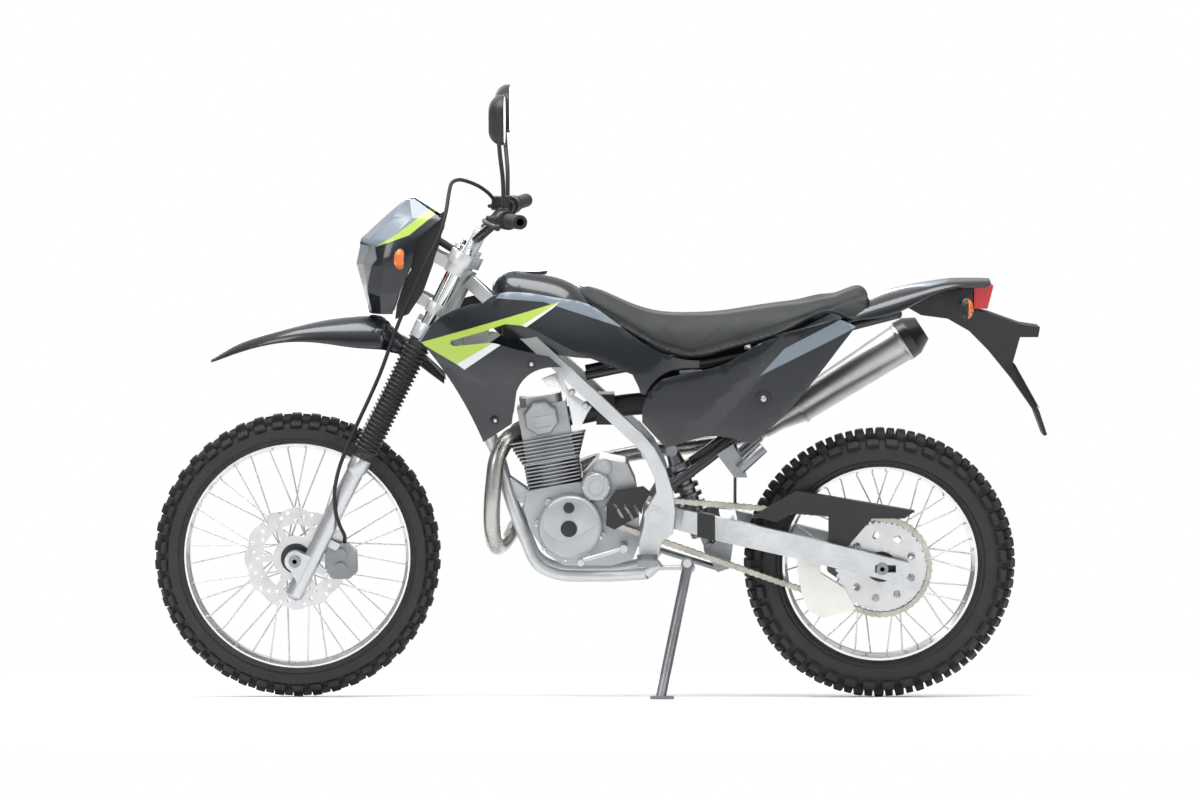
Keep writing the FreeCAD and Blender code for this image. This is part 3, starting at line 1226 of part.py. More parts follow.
# Engine: s runs up the cylinder's axis from the crankshaft, f forward of it
CRANK_SHARE = (0.0312, 0.4593)
CYLINDER_TILT_DEG = 10.0
CYLINDER_OFFSET = 18.0
CYLINDER_LOW = 96.0
CYLINDER_HIGH = 160.0
HEAD_HIGH = 216.0
HEAD_TOP = 292.0
CAM_COVER_TOP = 312.0
FIN_PITCH = 8.6
FIN_WALL = 2.6
FIN_HALF = 66.0
HEAD_FIN_HALF = 92.0
FIN_HALF_Y = 72.0
BARREL_RADIUS = 52.0
HEAD_HALF = 58.0
HEAD_HALF_Y = 56.0
FIN_ROUND = 16.0
CRANKCASE_SHARES = [(0.1110, 0.5000), (0.0970, 0.4396), (0.0720, 0.3850), (0.0430, 0.3530), (-0.0400, 0.3530),
                    (-0.0760, 0.3700), (-0.0860, 0.4100), (-0.0870, 0.5150), (-0.0800, 0.5700), (-0.0650, 0.6200),
                    (-0.0200, 0.6330), (0.0100, 0.5800), (0.1040, 0.5480)]
CRANKCASE_LEFT = 62.0
CRANKCASE_RIGHT = -78.0
CRANKCASE_ROUND = 7.0
STATOR_RADIUS = 76.0
STATOR_Y = 108.0
COVER_ROUND = 12.0
STARTER_SHARE = (-0.0130, 0.5615)
STARTER_RADIUS = 36.0
STARTER_Y = 96.0
PLUG_RADIUS = 15.0
PLUG_WALL = 3.0
TIMING_PLUG_RISE = 50.0
TIMING_PLUG_RADIUS = 11.0
LOBE_ANGLES_DEG = [5.0, 48.0, 196.0, 236.0, 276.0, 320.0]
LOBE_RADIUS = 8.5
LOBE_Y = 92.0
CLUTCH_SHARE = (-0.0180, 0.4700)
CLUTCH_RADIUS = 84.0
CLUTCH_Y = -124.0


def crank_place():
    x, z = stations([CRANK_SHARE])[0]
    return vec(x, 0, z)


def in_engine(shape):
    """Moves a shape drawn with Z along the cylinder's axis to its place."""
    moved = shape.copy()
    turn = FreeCAD.Rotation(Y_WAY, CYLINDER_TILT_DEG)
    moved.Placement = FreeCAD.Placement(crank_place(), turn).multiply(moved.Placement)
    return moved


def rounded_plate(half_x, half_y, low, wall, corner):
    plate = Part.makeBox(half_x * 2, half_y * 2, wall, vec(CYLINDER_OFFSET - half_x, -half_y, low))
    return plate.makeFillet(corner, [edge for edge in plate.Edges if abs(edge.tangentAt(0).z) > 0.5])


def cylinder_room():
    """The room that the barrel and its fins need above the case."""
    return in_engine(rounded_plate(FIN_HALF + FIN_WALL, FIN_HALF_Y + FIN_WALL, CYLINDER_LOW, CAM_COVER_TOP, FIN_ROUND))


def crankcase():
    """The two halves of the case as one casting, up to the foot of the cylinder."""
    case = slab(stations(CRANKCASE_SHARES), CRANKCASE_RIGHT, CRANKCASE_LEFT)
    case = case.makeFillet(CRANKCASE_ROUND, [e for e in case.Edges if abs(e.tangentAt(0).y) > 0.5])
    neck = in_engine(rounded_plate(FIN_HALF * 0.86, FIN_HALF_Y * 0.86, 0, CYLINDER_LOW, FIN_ROUND))
    neck = neck.common(box(-WHEELBASE, WHEELBASE, CRANKCASE_RIGHT, CRANKCASE_LEFT, crank_place().z, SEAT_HEIGHT))
    return joined([case, neck]).cut(cylinder_room())


def cylinder():
    """The barrel with its stack of cooling fins."""
    pieces = [Part.makeCylinder(BARREL_RADIUS, CYLINDER_HIGH - CYLINDER_LOW, vec(CYLINDER_OFFSET, 0, CYLINDER_LOW))]
    count = int((CYLINDER_HIGH - CYLINDER_LOW - FIN_WALL) / FIN_PITCH)
    for index in range(count + 1):
        low = CYLINDER_LOW + index * FIN_PITCH
        pieces.append(rounded_plate(FIN_HALF, FIN_HALF_Y, low, FIN_WALL, FIN_ROUND))
    return in_engine(joined(pieces))


def cylinder_head():
    """The finned head with its ports, and the cam cover on top."""
    pieces = [Part.makeBox(HEAD_HALF * 2, HEAD_HALF_Y * 2, HEAD_TOP - CYLINDER_HIGH,
                           vec(CYLINDER_OFFSET - HEAD_HALF, -HEAD_HALF_Y, CYLINDER_HIGH))]
    count = int((HEAD_HIGH - CYLINDER_HIGH - FIN_WALL) / FIN_PITCH)
    for index in range(count + 1):
        low = CYLINDER_HIGH + index * FIN_PITCH
        grow = (HEAD_FIN_HALF - FIN_HALF) * (index + 1) / (count + 1)
        pieces.append(rounded_plate(FIN_HALF + grow, FIN_HALF_Y, low, FIN_WALL, FIN_ROUND))
    cover = rounded_plate(HEAD_HALF * 0.86, HEAD_HALF_Y * 0.9, HEAD_TOP, CAM_COVER_TOP - HEAD_TOP, FIN_ROUND)
    cam = cam_cap()
    rear_port = Part.makeCylinder(PORT_RADIUS, PORT_LENGTH, vec(CYLINDER_OFFSET - HEAD_HALF - PORT_LENGTH + OVERRUN, 0, INTAKE_S), X_WAY)
    head = in_engine(joined(pieces + [cover, cam, rear_port])).cut(pipe_room())
    header = pipe_points()
    port_way = (header[1] - header[0]).normalize()
    port = rod(header[0] - port_way * PORT_LENGTH * 2, header[0] - port_way * SEAT_GAP, PORT_RADIUS)
    return joined([head, port])


CAM_RADIUS = 43.0
CAM_CAP_WALL = 20.0
CAM_SHIFT = 5.0
CAM_S = 262.0
PORT_RADIUS = 24.0
PORT_LENGTH = 24.0
INTAKE_S = 250.0


def cam_cap():
    """The eight-sided cover of the cam drive, with two pockets in its face."""
    middle = vec(CYLINDER_OFFSET + CAM_SHIFT, 0, CAM_S)
    corners = [middle + vec(math.cos(angle), 0, math.sin(angle)) * CAM_RADIUS
               for angle in (math.tau * (index + HALF) / CAM_SIDES for index in range(CAM_SIDES))]
    cap = Part.Face(Part.makePolygon(corners + corners[:1])).extrude(Y_WAY * (HEAD_HALF_Y + CAM_CAP_WALL))
    cap = cap.makeChamfer(CAM_CHAMFER, [edge for edge in cap.Edges if edge.BoundBox.YMin > HEAD_HALF_Y + CAM_CHAMFER])
    for side in (1, -1):
        pocket = Part.makeBox(CAM_POCKET_WIDTH, CAM_POCKET_DEPTH * 2, CAM_POCKET_HEIGHT)
        start = middle + vec(-CAM_POCKET_WIDTH / 2, HEAD_HALF_Y + CAM_CAP_WALL - CAM_POCKET_DEPTH, -CAM_POCKET_HEIGHT / 2)
        cap = cap.cut(pocket.translated(start + vec(0, 0, side * CAM_POCKET_SHIFT)))
    return cap


CAM_SIDES = 8
CAM_CHAMFER = 5.0
CAM_POCKET_WIDTH = 38.0
CAM_POCKET_HEIGHT = 16.0
CAM_POCKET_DEPTH = 3.0
CAM_POCKET_SHIFT = 13.0


def engine_point(s, f, y):
    turn = FreeCAD.Rotation(Y_WAY, CYLINDER_TILT_DEG)
    return crank_place() + turn.multVec(vec(CYLINDER_OFFSET + f, y, s))


def domed_cover(x, z, radius, y_low, y_high):
    """A round cover whose edge rolls over towards its outer face."""
    cover = cross_rod(x, z, radius, y_low, y_high)
    outer = [e for e in cover.Edges if abs(e.BoundBox.YMin - y_high) < OVERRUN and e.BoundBox.YLength < OVERRUN]
    return cover.makeFillet(COVER_ROUND, outer)


def engine_covers():
    """Left: stator and starter covers with their plug. Right: the clutch cover."""
    crank = crank_place()
    stator = domed_cover(crank.x, crank.z, STATOR_RADIUS, CRANKCASE_LEFT, STATOR_Y)
    plugs = [cross_rod(crank.x, crank.z, PLUG_RADIUS, STATOR_Y, STATOR_Y + PLUG_WALL),
             cross_rod(crank.x, crank.z + TIMING_PLUG_RISE, TIMING_PLUG_RADIUS, STATOR_Y - PLUG_WALL, STATOR_Y + PLUG_WALL)]
    for angle in LOBE_ANGLES_DEG:
        lobe = wheel_point(crank.x, crank.z, STATOR_RADIUS, angle, 0)
        plugs.append(cross_rod(lobe.x, lobe.z, LOBE_RADIUS, CRANKCASE_LEFT, LOBE_Y))
    x, z = stations([STARTER_SHARE])[0]
    starter = domed_cover(x, z, STARTER_RADIUS, CRANKCASE_LEFT, STARTER_Y)
    left = joined([stator, starter] + plugs).cut(cylinder_room())
    x, z = stations([CLUTCH_SHARE])[0]
    clutch = other_side(domed_cover(x, z, CLUTCH_RADIUS, -CRANKCASE_RIGHT, -CLUTCH_Y))
    rotor = other_side(domed_cover(crank.x, crank.z, STATOR_RADIUS * 0.9, -CRANKCASE_RIGHT, -CLUTCH_Y - OVERRUN * 2))
    return apart([left, joined([clutch, rotor])])


SPROCKET_COVER_SHARES = [(-0.0297, 0.4626), (-0.0312, 0.5165), (-0.0471, 0.5549), (-0.0935, 0.5650),
                         (-0.1060, 0.5490), (-0.0935, 0.5165), (-0.0900, 0.4900), (-0.0442, 0.4520)]
SPROCKET_COVER_Y = 90.0
SPROCKET_COVER_WALL = 7.0
VENT_COUNT = 3


def sprocket_cover():
    """A moulded guard over the drive sprocket, with slanted vents."""
    outline = stations(SPROCKET_COVER_SHARES)
    plate = slab(outline, SPROCKET_COVER_Y, SPROCKET_COVER_Y + SPROCKET_COVER_WALL)
    rear_x = min(point[0] for point in outline)
    fore_x = max(point[0] for point in outline)
    low_z = min(point[1] for point in outline)
    high_z = max(point[1] for point in outline)
    for index in range(VENT_COUNT):
        share = (index + 1.2) / (VENT_COUNT + 1.4)
        x = rear_x + (fore_x - rear_x) * share
        z = low_z + (high_z - low_z) * (0.36 + 0.10 * share)
        vent = Part.makeBox(VENT_LENGTH, SPROCKET_COVER_WALL * 3, VENT_WIDTH)
        vent.translate(vec(-VENT_LENGTH / 2, SPROCKET_COVER_Y - SPROCKET_COVER_WALL, -VENT_WIDTH / 2))
        vent.rotate(vec(0, 0, 0), Y_WAY, -VENT_SLOPE_DEG)
        plate = plate.cut(vent.translated(vec(x, 0, z)))
    return plate


VENT_LENGTH = 42.0
VENT_WIDTH = 7.0
VENT_SLOPE_DEG = 58.0
DRIVE_SPROCKET_HUB = 14.0


def drive_place():
    x, z = stations([DRIVE_SHARE])[0]
    return vec(x, 0, z)


DRIVE_SHARE = (-0.0580, 0.4967)


def drive_sprocket():
    """The small sprocket on the output shaft, which comes out of the crankcase."""
    place = drive_place()
    toothed = sprocket(place.x, place.z, DRIVE_TEETH, SPROCKET_Y)
    shaft = cross_rod(place.x, place.z, DRIVE_SPROCKET_HUB, CRANKCASE_LEFT, SPROCKET_COVER_Y - SEAT_GAP)
    return joined([toothed, shaft])


# Exhaust, on the right from below the engine
PIPE_RADIUS = 19.5
PIPE_CLEARANCE = 3.0
PIPE_HEAD_POINTS = 4
PIPE_SHARES = [(0.1215, 0.6920, 0.000), (0.1400, 0.6790, 0.018), (0.1580, 0.6300, 0.036), (0.1650, 0.5220, 0.046),
               (0.1660, 0.4500, 0.042), (0.1600, 0.3950, 0.014), (0.1520, 0.3870, -0.034), (0.1350, 0.4150, -0.078),
               (0.0900, 0.5000, -0.098), (0.0200, 0.5900, -0.104), (-0.0900, 0.6260, -0.106),
               (-0.2100, 0.6430, -0.112), (-0.2960, 0.6740, -0.1155), (-0.3030, 0.6813, -0.1155)]
MUFFLER_RISE_DEG = 32.8
MUFFLER_SHARES = [(0.0, 0.46), (0.09, 0.52), (0.24, 0.83), (0.88, 1.0)]
MUFFLER_LENGTH = 452.0
MUFFLER_RADIUS = 49.0
MUFFLER_WALL = 2.0
MUFFLER_GAP = 8.0
OUTLET_RADIUS = 16.0


def muffler_line():
    start = side_point(PIPE_SHARES[-1][0], PIPE_SHARES[-1][1], PIPE_SHARES[-1][2])
    rise = math.radians(MUFFLER_RISE_DEG)
    return start, vec(-math.cos(rise), 0, math.sin(rise))


def pipe_points():
    points = [side_point(x, z, y) for x, z, y in PIPE_SHARES[:-1]]
    start, way = muffler_line()
    return points + [start - way * SEAT_GAP]


def pipe_room():
    """The room that the header needs where it leaves the head."""
    return tube(pipe_points()[:PIPE_HEAD_POINTS], PIPE_RADIUS + PIPE_CLEARANCE)


def exhaust_pipe():
    """The header: out of the head, down the left of the down tube, under it and back along the right."""
    start, way = muffler_line()
    beyond = rod(start - way * SEAT_GAP, start + way * MUFFLER_RADIUS, MUFFLER_RADIUS)
    return tube(pipe_points(), PIPE_RADIUS).cut(beyond)


def muffler():
    """A tapered can with rolled rings, from the header's end to its cap."""
    start, way = muffler_line()
    outline = [(along * MUFFLER_LENGTH, radius * MUFFLER_RADIUS) for along, radius in MUFFLER_SHARES]
    can = turned_about(start, way, [(0, 0)] + outline + [(outline[-1][0], 0)])
    rings = []
    for along, radius in (outline[2], outline[3]):
        rings.append(turned_about(start + way * (along - RING_WALL), way,
                                  [(0, 0), (0, radius + RING_RISE), (RING_WALL, radius + RING_RISE), (RING_WALL, 0)]))
    return joined([can] + rings)


RING_WALL = 9.0
RING_RISE = 2.5


def muffler_cap():
    """The black end cap with its outlet."""
    start, way = muffler_line()
    begin = MUFFLER_SHARES[-1][0] * MUFFLER_LENGTH + SEAT_GAP
    radius = MUFFLER_RADIUS
    profile = [(begin, 0), (begin, radius + RING_RISE), (begin + (MUFFLER_LENGTH - begin) * 0.4, radius),
               (MUFFLER_LENGTH, radius * 0.62), (MUFFLER_LENGTH, OUTLET_RADIUS),
               (MUFFLER_LENGTH - OUTLET_RADIUS, OUTLET_RADIUS), (MUFFLER_LENGTH - OUTLET_RADIUS, 0)]
    return turned_about(start, way, profile)


THROTTLE_RADIUS = 26.0
THROTTLE_HALF = 36.0
AIRBOX_SHARES = [(-0.1560, 0.8500), (-0.1560, 0.7250), (-0.1800, 0.7000), (-0.2750, 0.7000), (-0.2950, 0.7300), (-0.2950, 0.8500)]
AIRBOX_HALF = 64.0
FLAP_X_SHARE = -0.2500
FLAP_LOW_SHARE = 0.5000
FLAP_HALF = 58.0
FLAP_WALL = 4.0


def throttle_body():
    """The throttle body with its rubber ducts, from the head's intake port to the airbox."""
    port = engine_point(INTAKE_S, -HEAD_HALF - PORT_LENGTH + OVERRUN - SEAT_GAP, 0)
    end = vec(AIRBOX_SHARES[0][0] * WHEELBASE + SEAT_GAP, 0, THROTTLE_END_SHARE * SEAT_HEIGHT)
    middle = port * 0.5 + end * 0.5 + Z_WAY * PORT_LENGTH / 2
    duct = tube([port, middle, end], THROTTLE_RADIUS)
    block_at = port * 0.72 + end * 0.28
    block = Part.makeBox(THROTTLE_HALF * 1.2, THROTTLE_HALF * 2, THROTTLE_HALF * 2,
                         block_at - vec(THROTTLE_HALF * 0.6, THROTTLE_HALF, THROTTLE_HALF * 0.8))
    return joined([duct, block])


THROTTLE_END_SHARE = 0.770


def airbox():
    """The air filter's case under the seat, with the flap that shields it from the tyre."""
    case = slab(stations(AIRBOX_SHARES), -AIRBOX_HALF, AIRBOX_HALF)
    case = case.makeFillet(GAUGE_ROUND, [e for e in case.Edges if abs(e.tangentAt(0).y) > 0.5])
    x = FLAP_X_SHARE * WHEELBASE
    flap = box(x - FLAP_WALL, x, -FLAP_HALF, FLAP_HALF, FLAP_LOW_SHARE * SEAT_HEIGHT, AIRBOX_SHARES[2][1] * SEAT_HEIGHT)
    return joined([case, flap])


# Tank, side panels and seat
TANK_SHARES = [(0.1640, 0.975, 1.080, 0.038), (0.1380, 0.945, 1.116, 0.066), (0.0800, 0.915, 1.112, 0.074),
               (0.0300, 0.900, 1.090, 0.074), (-0.0080, 0.895, 1.040, 0.066), (-0.0450, 0.895, 0.990, 0.054),
               (-0.1000, 0.900, 0.940, 0.046)]
CAP_RADIUS = 38.0
CAP_WALL = 12.0
CAP_SHARE = (0.0980, 1.090)
SHROUD_TOP_SHARES = [[(0.2800, 0.941), (0.2880, 0.949)], [(0.2880, 0.949), (0.2640, 0.991), (0.1780, 1.043)],
                     [(0.1780, 1.043), (0.1440, 1.068), (0.1270, 1.070), (0.0890, 1.064), (0.0410, 1.051)],
                     [(0.0410, 1.051), (-0.0100, 1.028), (-0.0650, 0.967), (-0.1100, 0.923), (-0.1580, 0.897), (-0.1880, 0.893)],
                     [(-0.1880, 0.893), (-0.1880, 0.873)],
                     [(-0.1880, 0.873), (-0.1130, 0.842), (-0.0960, 0.805)], [(-0.0960, 0.805), (-0.0860, 0.809)],
                     [(-0.0860, 0.809), (-0.0560, 0.864), (0.0070, 0.886), (0.0410, 0.878)],
                     [(0.0410, 0.878), (0.1100, 0.846), (0.1230, 0.809)], [(0.1230, 0.809), (0.1300, 0.731)],
                     [(0.1300, 0.731), (0.1780, 0.684)], [(0.1780, 0.684), (0.2190, 0.809), (0.2800, 0.941)]]
SHROUD_X_SHARES = [0.2950, 0.2400, 0.1740, 0.1010, 0.0290, -0.0430, -0.1160, -0.2030]
SHROUD_Z_SHARES = [0.660, 0.770, 0.860, 0.945, 1.010, 1.085]
SHROUD_Y_SHARES = [[0.1080, 0.1090, 0.1110, 0.1110, 0.1080, 0.1000], [0.1060, 0.1090, 0.1120, 0.1120, 0.1080, 0.0980],
                   [0.0990, 0.1050, 0.1110, 0.1130, 0.1050, 0.0880], [0.0910, 0.1000, 0.1080, 0.1080, 0.0960, 0.0770],
                   [0.0860, 0.0930, 0.1000, 0.0980, 0.0830, 0.0690], [0.0830, 0.0870, 0.0910, 0.0830, 0.0700, 0.0600],
                   [0.0820, 0.0840, 0.0850, 0.0770, 0.0670, 0.0600], [0.0820, 0.0840, 0.0840, 0.0780, 0.0700, 0.0620]]
COVER_RUNS_SHARES = [[(-0.0910, 0.769), (-0.1080, 0.820), (-0.1250, 0.845)],
                     [(-0.1250, 0.845), (-0.1920, 0.869), (-0.2350, 0.888), (-0.2800, 0.930), (-0.3360, 0.962), (-0.4220, 1.001)],
                     [(-0.4220, 1.001), (-0.4360, 0.993)], [(-0.4360, 0.993), (-0.4530, 0.981)],
                     [(-0.4530, 0.981), (-0.4330, 0.943), (-0.3660, 0.812), (-0.2770, 0.680)],
                     [(-0.2770, 0.680), (-0.2440, 0.693), (-0.2070, 0.699), (-0.1710, 0.687), (-0.1320, 0.670)],
                     [(-0.1320, 0.670), (-0.1210, 0.685)], [(-0.1210, 0.685), (-0.0910, 0.735)], [(-0.0910, 0.735), (-0.0910, 0.769)]]
COVER_X_SHARES = [-0.0720, -0.1450, -0.2170, -0.2900, -0.3620, -0.4640]
COVER_Z_SHARES = [0.650, 0.750, 0.840, 0.930, 1.015]
COVER_Y_SHARES = [[0.0930, 0.0930, 0.0910, 0.0820, 0.0740], [0.0950, 0.0960, 0.0930, 0.0830, 0.0750],
                  [0.0970, 0.0980, 0.0960, 0.0890, 0.0820], [0.0970, 0.0990, 0.0980, 0.0930, 0.0850],
                  [0.0940, 0.0970, 0.0970, 0.0930, 0.0860], [0.0860, 0.0900, 0.0920, 0.0880, 0.0800]]


def body_sheet(x_shares, z_shares, y_shares, wall):
    rows = [[side_point(x, z, y) for z, y in zip(z_shares, column)] for x, column in zip(x_shares, y_shares)]
    return sheet(rows, wall)


def body_panel(runs_shares, x_shares, z_shares, y_shares, wall):
    """A moulded panel: a curved wall trimmed to its side outline."""
    outline = curved_slab([stations(run) for run in runs_shares], 0, WHEELBASE / 4)
    return largest(body_sheet(x_shares, z_shares, y_shares, wall).common(outline))


def tank_section(x_share, low_share, high_share, half_share):
    x = x_share * WHEELBASE
    low = low_share * SEAT_HEIGHT
    high = high_share * SEAT_HEIGHT
    half = half_share * WHEELBASE
    rise = high - low
    top = [vec(x, half, low + rise * 0.45), vec(x, half * 0.93, low + rise * 0.72), vec(x, half * 0.6, low + rise * 0.94),
           vec(x, 0, high), vec(x, -half * 0.6, low + rise * 0.94), vec(x, -half * 0.93, low + rise * 0.72),
           vec(x, -half, low + rise * 0.45)]
    under = [vec(x, -half * 0.9, low), vec(x, half * 0.9, low)]
    return [top, [top[-1], under[0]], under, [under[1], top[0]]]


def panel_boss(place):
    """A boss from the frame out to a panel's inner face."""
    x, z = stations([place[:2]])[0]
    return cross_rod(x, z, BOSS_RADIUS, place[2] * WHEELBASE, place[3] * WHEELBASE)


BOSS_RADIUS = 9.0
SHROUD_BOSS_SHARE = (0.0950, 0.9370, 0.0570, 0.1060)
COVER_BOSS_SHARE = (-0.3010, 0.7770, 0.0620, 0.0975)


def left_shroud():
    return body_panel(SHROUD_TOP_SHARES, SHROUD_X_SHARES, SHROUD_Z_SHARES, SHROUD_Y_SHARES, PANEL_WALL)


def left_cover():
    return body_panel(COVER_RUNS_SHARES, COVER_X_SHARES, COVER_Z_SHARES, COVER_Y_SHARES, PANEL_WALL)


def fuel_tank(shroud, frame_solid):
    """The tank between the panels, with its filler cap."""
    body = loft_through([tank_section(*row) for row in TANK_SHARES])
    cap = Part.makeCylinder(CAP_RADIUS, CAP_WALL * 2, vec(CAP_SHARE[0] * WHEELBASE, 0, CAP_SHARE[1] * SEAT_HEIGHT))
    return largest(joined([body, cap]).cut(apart([shroud, other_side(shroud)])).cut(frame_solid))


SEAT_SHARES = [(0.0300, 1.086, 1.072, 0.030), (-0.0080, 1.068, 1.028, 0.050), (-0.0620, 1.033, 0.974, 0.064),
               (-0.1140, 1.007, 0.930, 0.070), (-0.1760, 1.002, 0.903, 0.073), (-0.2300, 1.006, 0.922, 0.079),
               (-0.2840, 1.018, 0.945, 0.084), (-0.3400, 1.030, 0.978, 0.085), (-0.4240, 1.054, 1.016, 0.078),
               (-0.4780, 1.066, 1.046, 0.062)]
SEAT_BASE = 8.0


def seat_section(x_share, top_share, edge_share, half_share):
    x = x_share * WHEELBASE
    top = top_share * SEAT_HEIGHT
    edge = edge_share * SEAT_HEIGHT
    half = half_share * WHEELBASE
    rise = top - edge
    upper = [vec(x, half, edge), vec(x, half * 0.96, edge + rise * 0.55), vec(x, half * 0.72, edge + rise * 0.93),
             vec(x, 0, top), vec(x, -half * 0.72, edge + rise * 0.93), vec(x, -half * 0.96, edge + rise * 0.55),
             vec(x, -half, edge)]
    under = [vec(x, -half * 0.8, edge - SEAT_BASE), vec(x, half * 0.8, edge - SEAT_BASE)]
    return [upper, [upper[-1], under[0]], under, [under[1], upper[0]]]


def seat(neighbours):
    """The long seat, cut to sit on the tank, the rails and the panels."""
    body = loft_through([seat_section(*row) for row in SEAT_SHARES])
    return largest(body.cut(apart(neighbours)))


# Tail
TAIL_SHARES = [(-0.4350, 1.008, 0.068, 0.026), (-0.4860, 1.052, 0.066, 0.050), (-0.5340, 1.074, 0.062, 0.052),
               (-0.5790, 1.087, 0.056, 0.030), (-0.6470, 1.096, 0.045, 0.018), (-0.6850, 1.095, 0.034, 0.010)]
TAIL_LAMP_SHARES = [(-0.6570, 1.0760), (-0.6900, 1.0800), (-0.6800, 1.0200), (-0.6570, 1.0200)]
TAIL_LAMP_HALF = 44.0
BRACKET_SHARES = [(-0.5380, 1.028), (-0.5770, 1.082), (-0.6540, 1.090), (-0.6560, 1.017), (-0.6830, 1.009), (-0.7380, 0.979),
                  (-0.7700, 0.972), (-0.7670, 0.946), (-0.7360, 0.946), (-0.7240, 0.879), (-0.7420, 0.831),
                  (-0.7700, 0.755), (-0.7840, 0.692), (-0.7780, 0.689), (-0.7620, 0.752), (-0.7240, 0.834),
                  (-0.6830, 0.910), (-0.6490, 0.962), (-0.6120, 0.994), (-0.5670, 1.003)]
BRACKET_HALF = 42.0
PLATE_TOP_SHARE = (-0.7240, 0.879)
PLATE_LENGTH = 118.0
PLATE_HALF = 88.0
PLATE_WALL = 1.6
PLATE_SLOPE_DEG = 60.6
REAR_LAMP_SHARE = (-0.6380, 1.032)


def tail_fender():
    return loft_through([channel_section(*row, PANEL_WALL) for row in TAIL_SHARES])


def tail_light():
    lamp = slab(stations(TAIL_LAMP_SHARES), -TAIL_LAMP_HALF, TAIL_LAMP_HALF)
    return largest(lamp.cut(tail_fender()))


def plate_bracket():
    """The rear mudguard that carries the number plate and the rear indicators."""
    bracket = slab(stations(BRACKET_SHARES), -BRACKET_HALF, BRACKET_HALF)
    return largest(bracket.cut(tail_fender()).cut(tail_light()))


def number_plate():
    """A blank plate on the bracket's rear edge."""
    x, z = stations([PLATE_TOP_SHARE])[0]
    plate = Part.makeBox(PLATE_LENGTH, PLATE_HALF * 2, PLATE_WALL, vec(0, -PLATE_HALF, 0))
    plate.translate(vec(0, 0, -PLATE_WALL - SEAT_GAP))
    plate.rotate(vec(0, 0, 0), Y_WAY, 180 - PLATE_SLOPE_DEG)
    return plate.translated(vec(x, 0, z))


def rear_indicators():
    x, z = stations([REAR_LAMP_SHARE])[0]
    return both_sides(indicator(x, z, BRACKET_HALF + SEAT_GAP))


# Rests and pedals
PEG_SHARE = (-0.1000, 0.3920)
PEG_LENGTH = 104.0
PEG_HALF = 24.0
PEG_WALL = 15.0
PEG_TOOTH = 4.0
PEG_TEETH = 5
PEG_ROOT_Y = 128.0
SHIFT_SHARE = (-0.0594, 0.4066)
SHIFT_TIP_SHARE = (0.0130, 0.3740)
SHIFT_Y = 122.0
PEDAL_RADIUS = 6.0
PEDAL_TIP_RADIUS = 8.0
PEDAL_TIP_LENGTH = 34.0
BRAKE_ROOT_SHARE = (-0.0690, 0.3330)
BRAKE_TIP_SHARE = (0.0300, 0.3620)
BRAKE_Y = 146.0
BRAKE_PIVOT_SHARE = -0.55
SHIFT_SHAFT_RADIUS = 9.5
PILLION_SHARES = [(-0.2570, 0.6130), (-0.2970, 0.6690)]
PILLION_Y = 124.0
PILLION_RADIUS = 13.0
PILLION_BRACKET_SHARES = [(-0.2180, 0.6500), (-0.2480, 0.5900), (-0.2700, 0.5900), (-0.2620, 0.6300), (-0.2450, 0.6760)]


def footpegs():
    """Toothed rests on the foot of each pivot plate."""
    x, z = stations([PEG_SHARE])[0]
    tread = box(x - PEG_HALF, x + PEG_HALF, PEG_ROOT_Y, PEG_ROOT_Y + PEG_LENGTH, z - PEG_WALL, z)
    slot = box(x - PEG_HALF * 0.6, x + PEG_HALF * 0.6, PEG_ROOT_Y + PEG_WALL, PEG_ROOT_Y + PEG_LENGTH - PEG_WALL / 2,
               z - PEG_WALL * 2, z + PEG_WALL)
    tread = tread.cut(slot)
    step = PEG_LENGTH / (PEG_TEETH + 1)
    for index in range(PEG_TEETH):
        y = PEG_ROOT_Y + (index + 1) * step
        tread = tread.cut(box(x - PEG_HALF * 2, x + PEG_HALF * 2, y, y + step / 2, z - PEG_TOOTH, z + PEG_TOOTH))
    arm = cross_rod(x, z - PEG_WALL / 2, PEG_WALL / 2, CASTING_OUTER_Y + SEAT_GAP, PEG_ROOT_Y + PEG_WALL / 2)
    return both_sides(joined([tread, arm]))


def pedals(main_frame):
    """Left: the shift lever on its shaft. Right: the brake pedal, hinged below the rest."""
    x, z = stations([SHIFT_SHARE])[0]
    tip_x, tip_z = stations([SHIFT_TIP_SHARE])[0]
    shaft = cross_rod(x, z, SHIFT_SHAFT_RADIUS, CRANKCASE_LEFT + SEAT_GAP, SHIFT_Y + SHIFT_SHAFT_RADIUS)
    arm = rod(vec(x, SHIFT_Y, z), vec(tip_x, SHIFT_Y, tip_z), PEDAL_RADIUS)
    toe = cross_rod(tip_x, tip_z, PEDAL_TIP_RADIUS, SHIFT_Y - PEDAL_RADIUS, SHIFT_Y + PEDAL_TIP_LENGTH)
    shift = joined([shaft, arm, toe])
    x, z = stations([BRAKE_ROOT_SHARE])[0]
    tip_x, tip_z = stations([BRAKE_TIP_SHARE])[0]
    pivot = cross_rod(x, z, PEDAL_TIP_RADIUS, -BRAKE_Y - PEDAL_RADIUS, BRAKE_PIVOT_SHARE * BRAKE_Y)
    line = tube([vec(x, -BRAKE_Y, z), vec(x + (tip_x - x) * 0.5, -BRAKE_Y, z - PEDAL_TIP_LENGTH * 0.4),
                 vec(tip_x, -BRAKE_Y, tip_z)], PEDAL_RADIUS)
    pad = box(tip_x - PEDAL_TIP_RADIUS * 2, tip_x + PEDAL_TIP_RADIUS, -BRAKE_Y - PEDAL_TIP_LENGTH / 2,
              -BRAKE_Y + PEDAL_TIP_LENGTH / 2, tip_z, tip_z + PEDAL_RADIUS)
    brake = largest(joined([pivot, line, pad]).cut(main_frame))
    return apart([shift, brake])


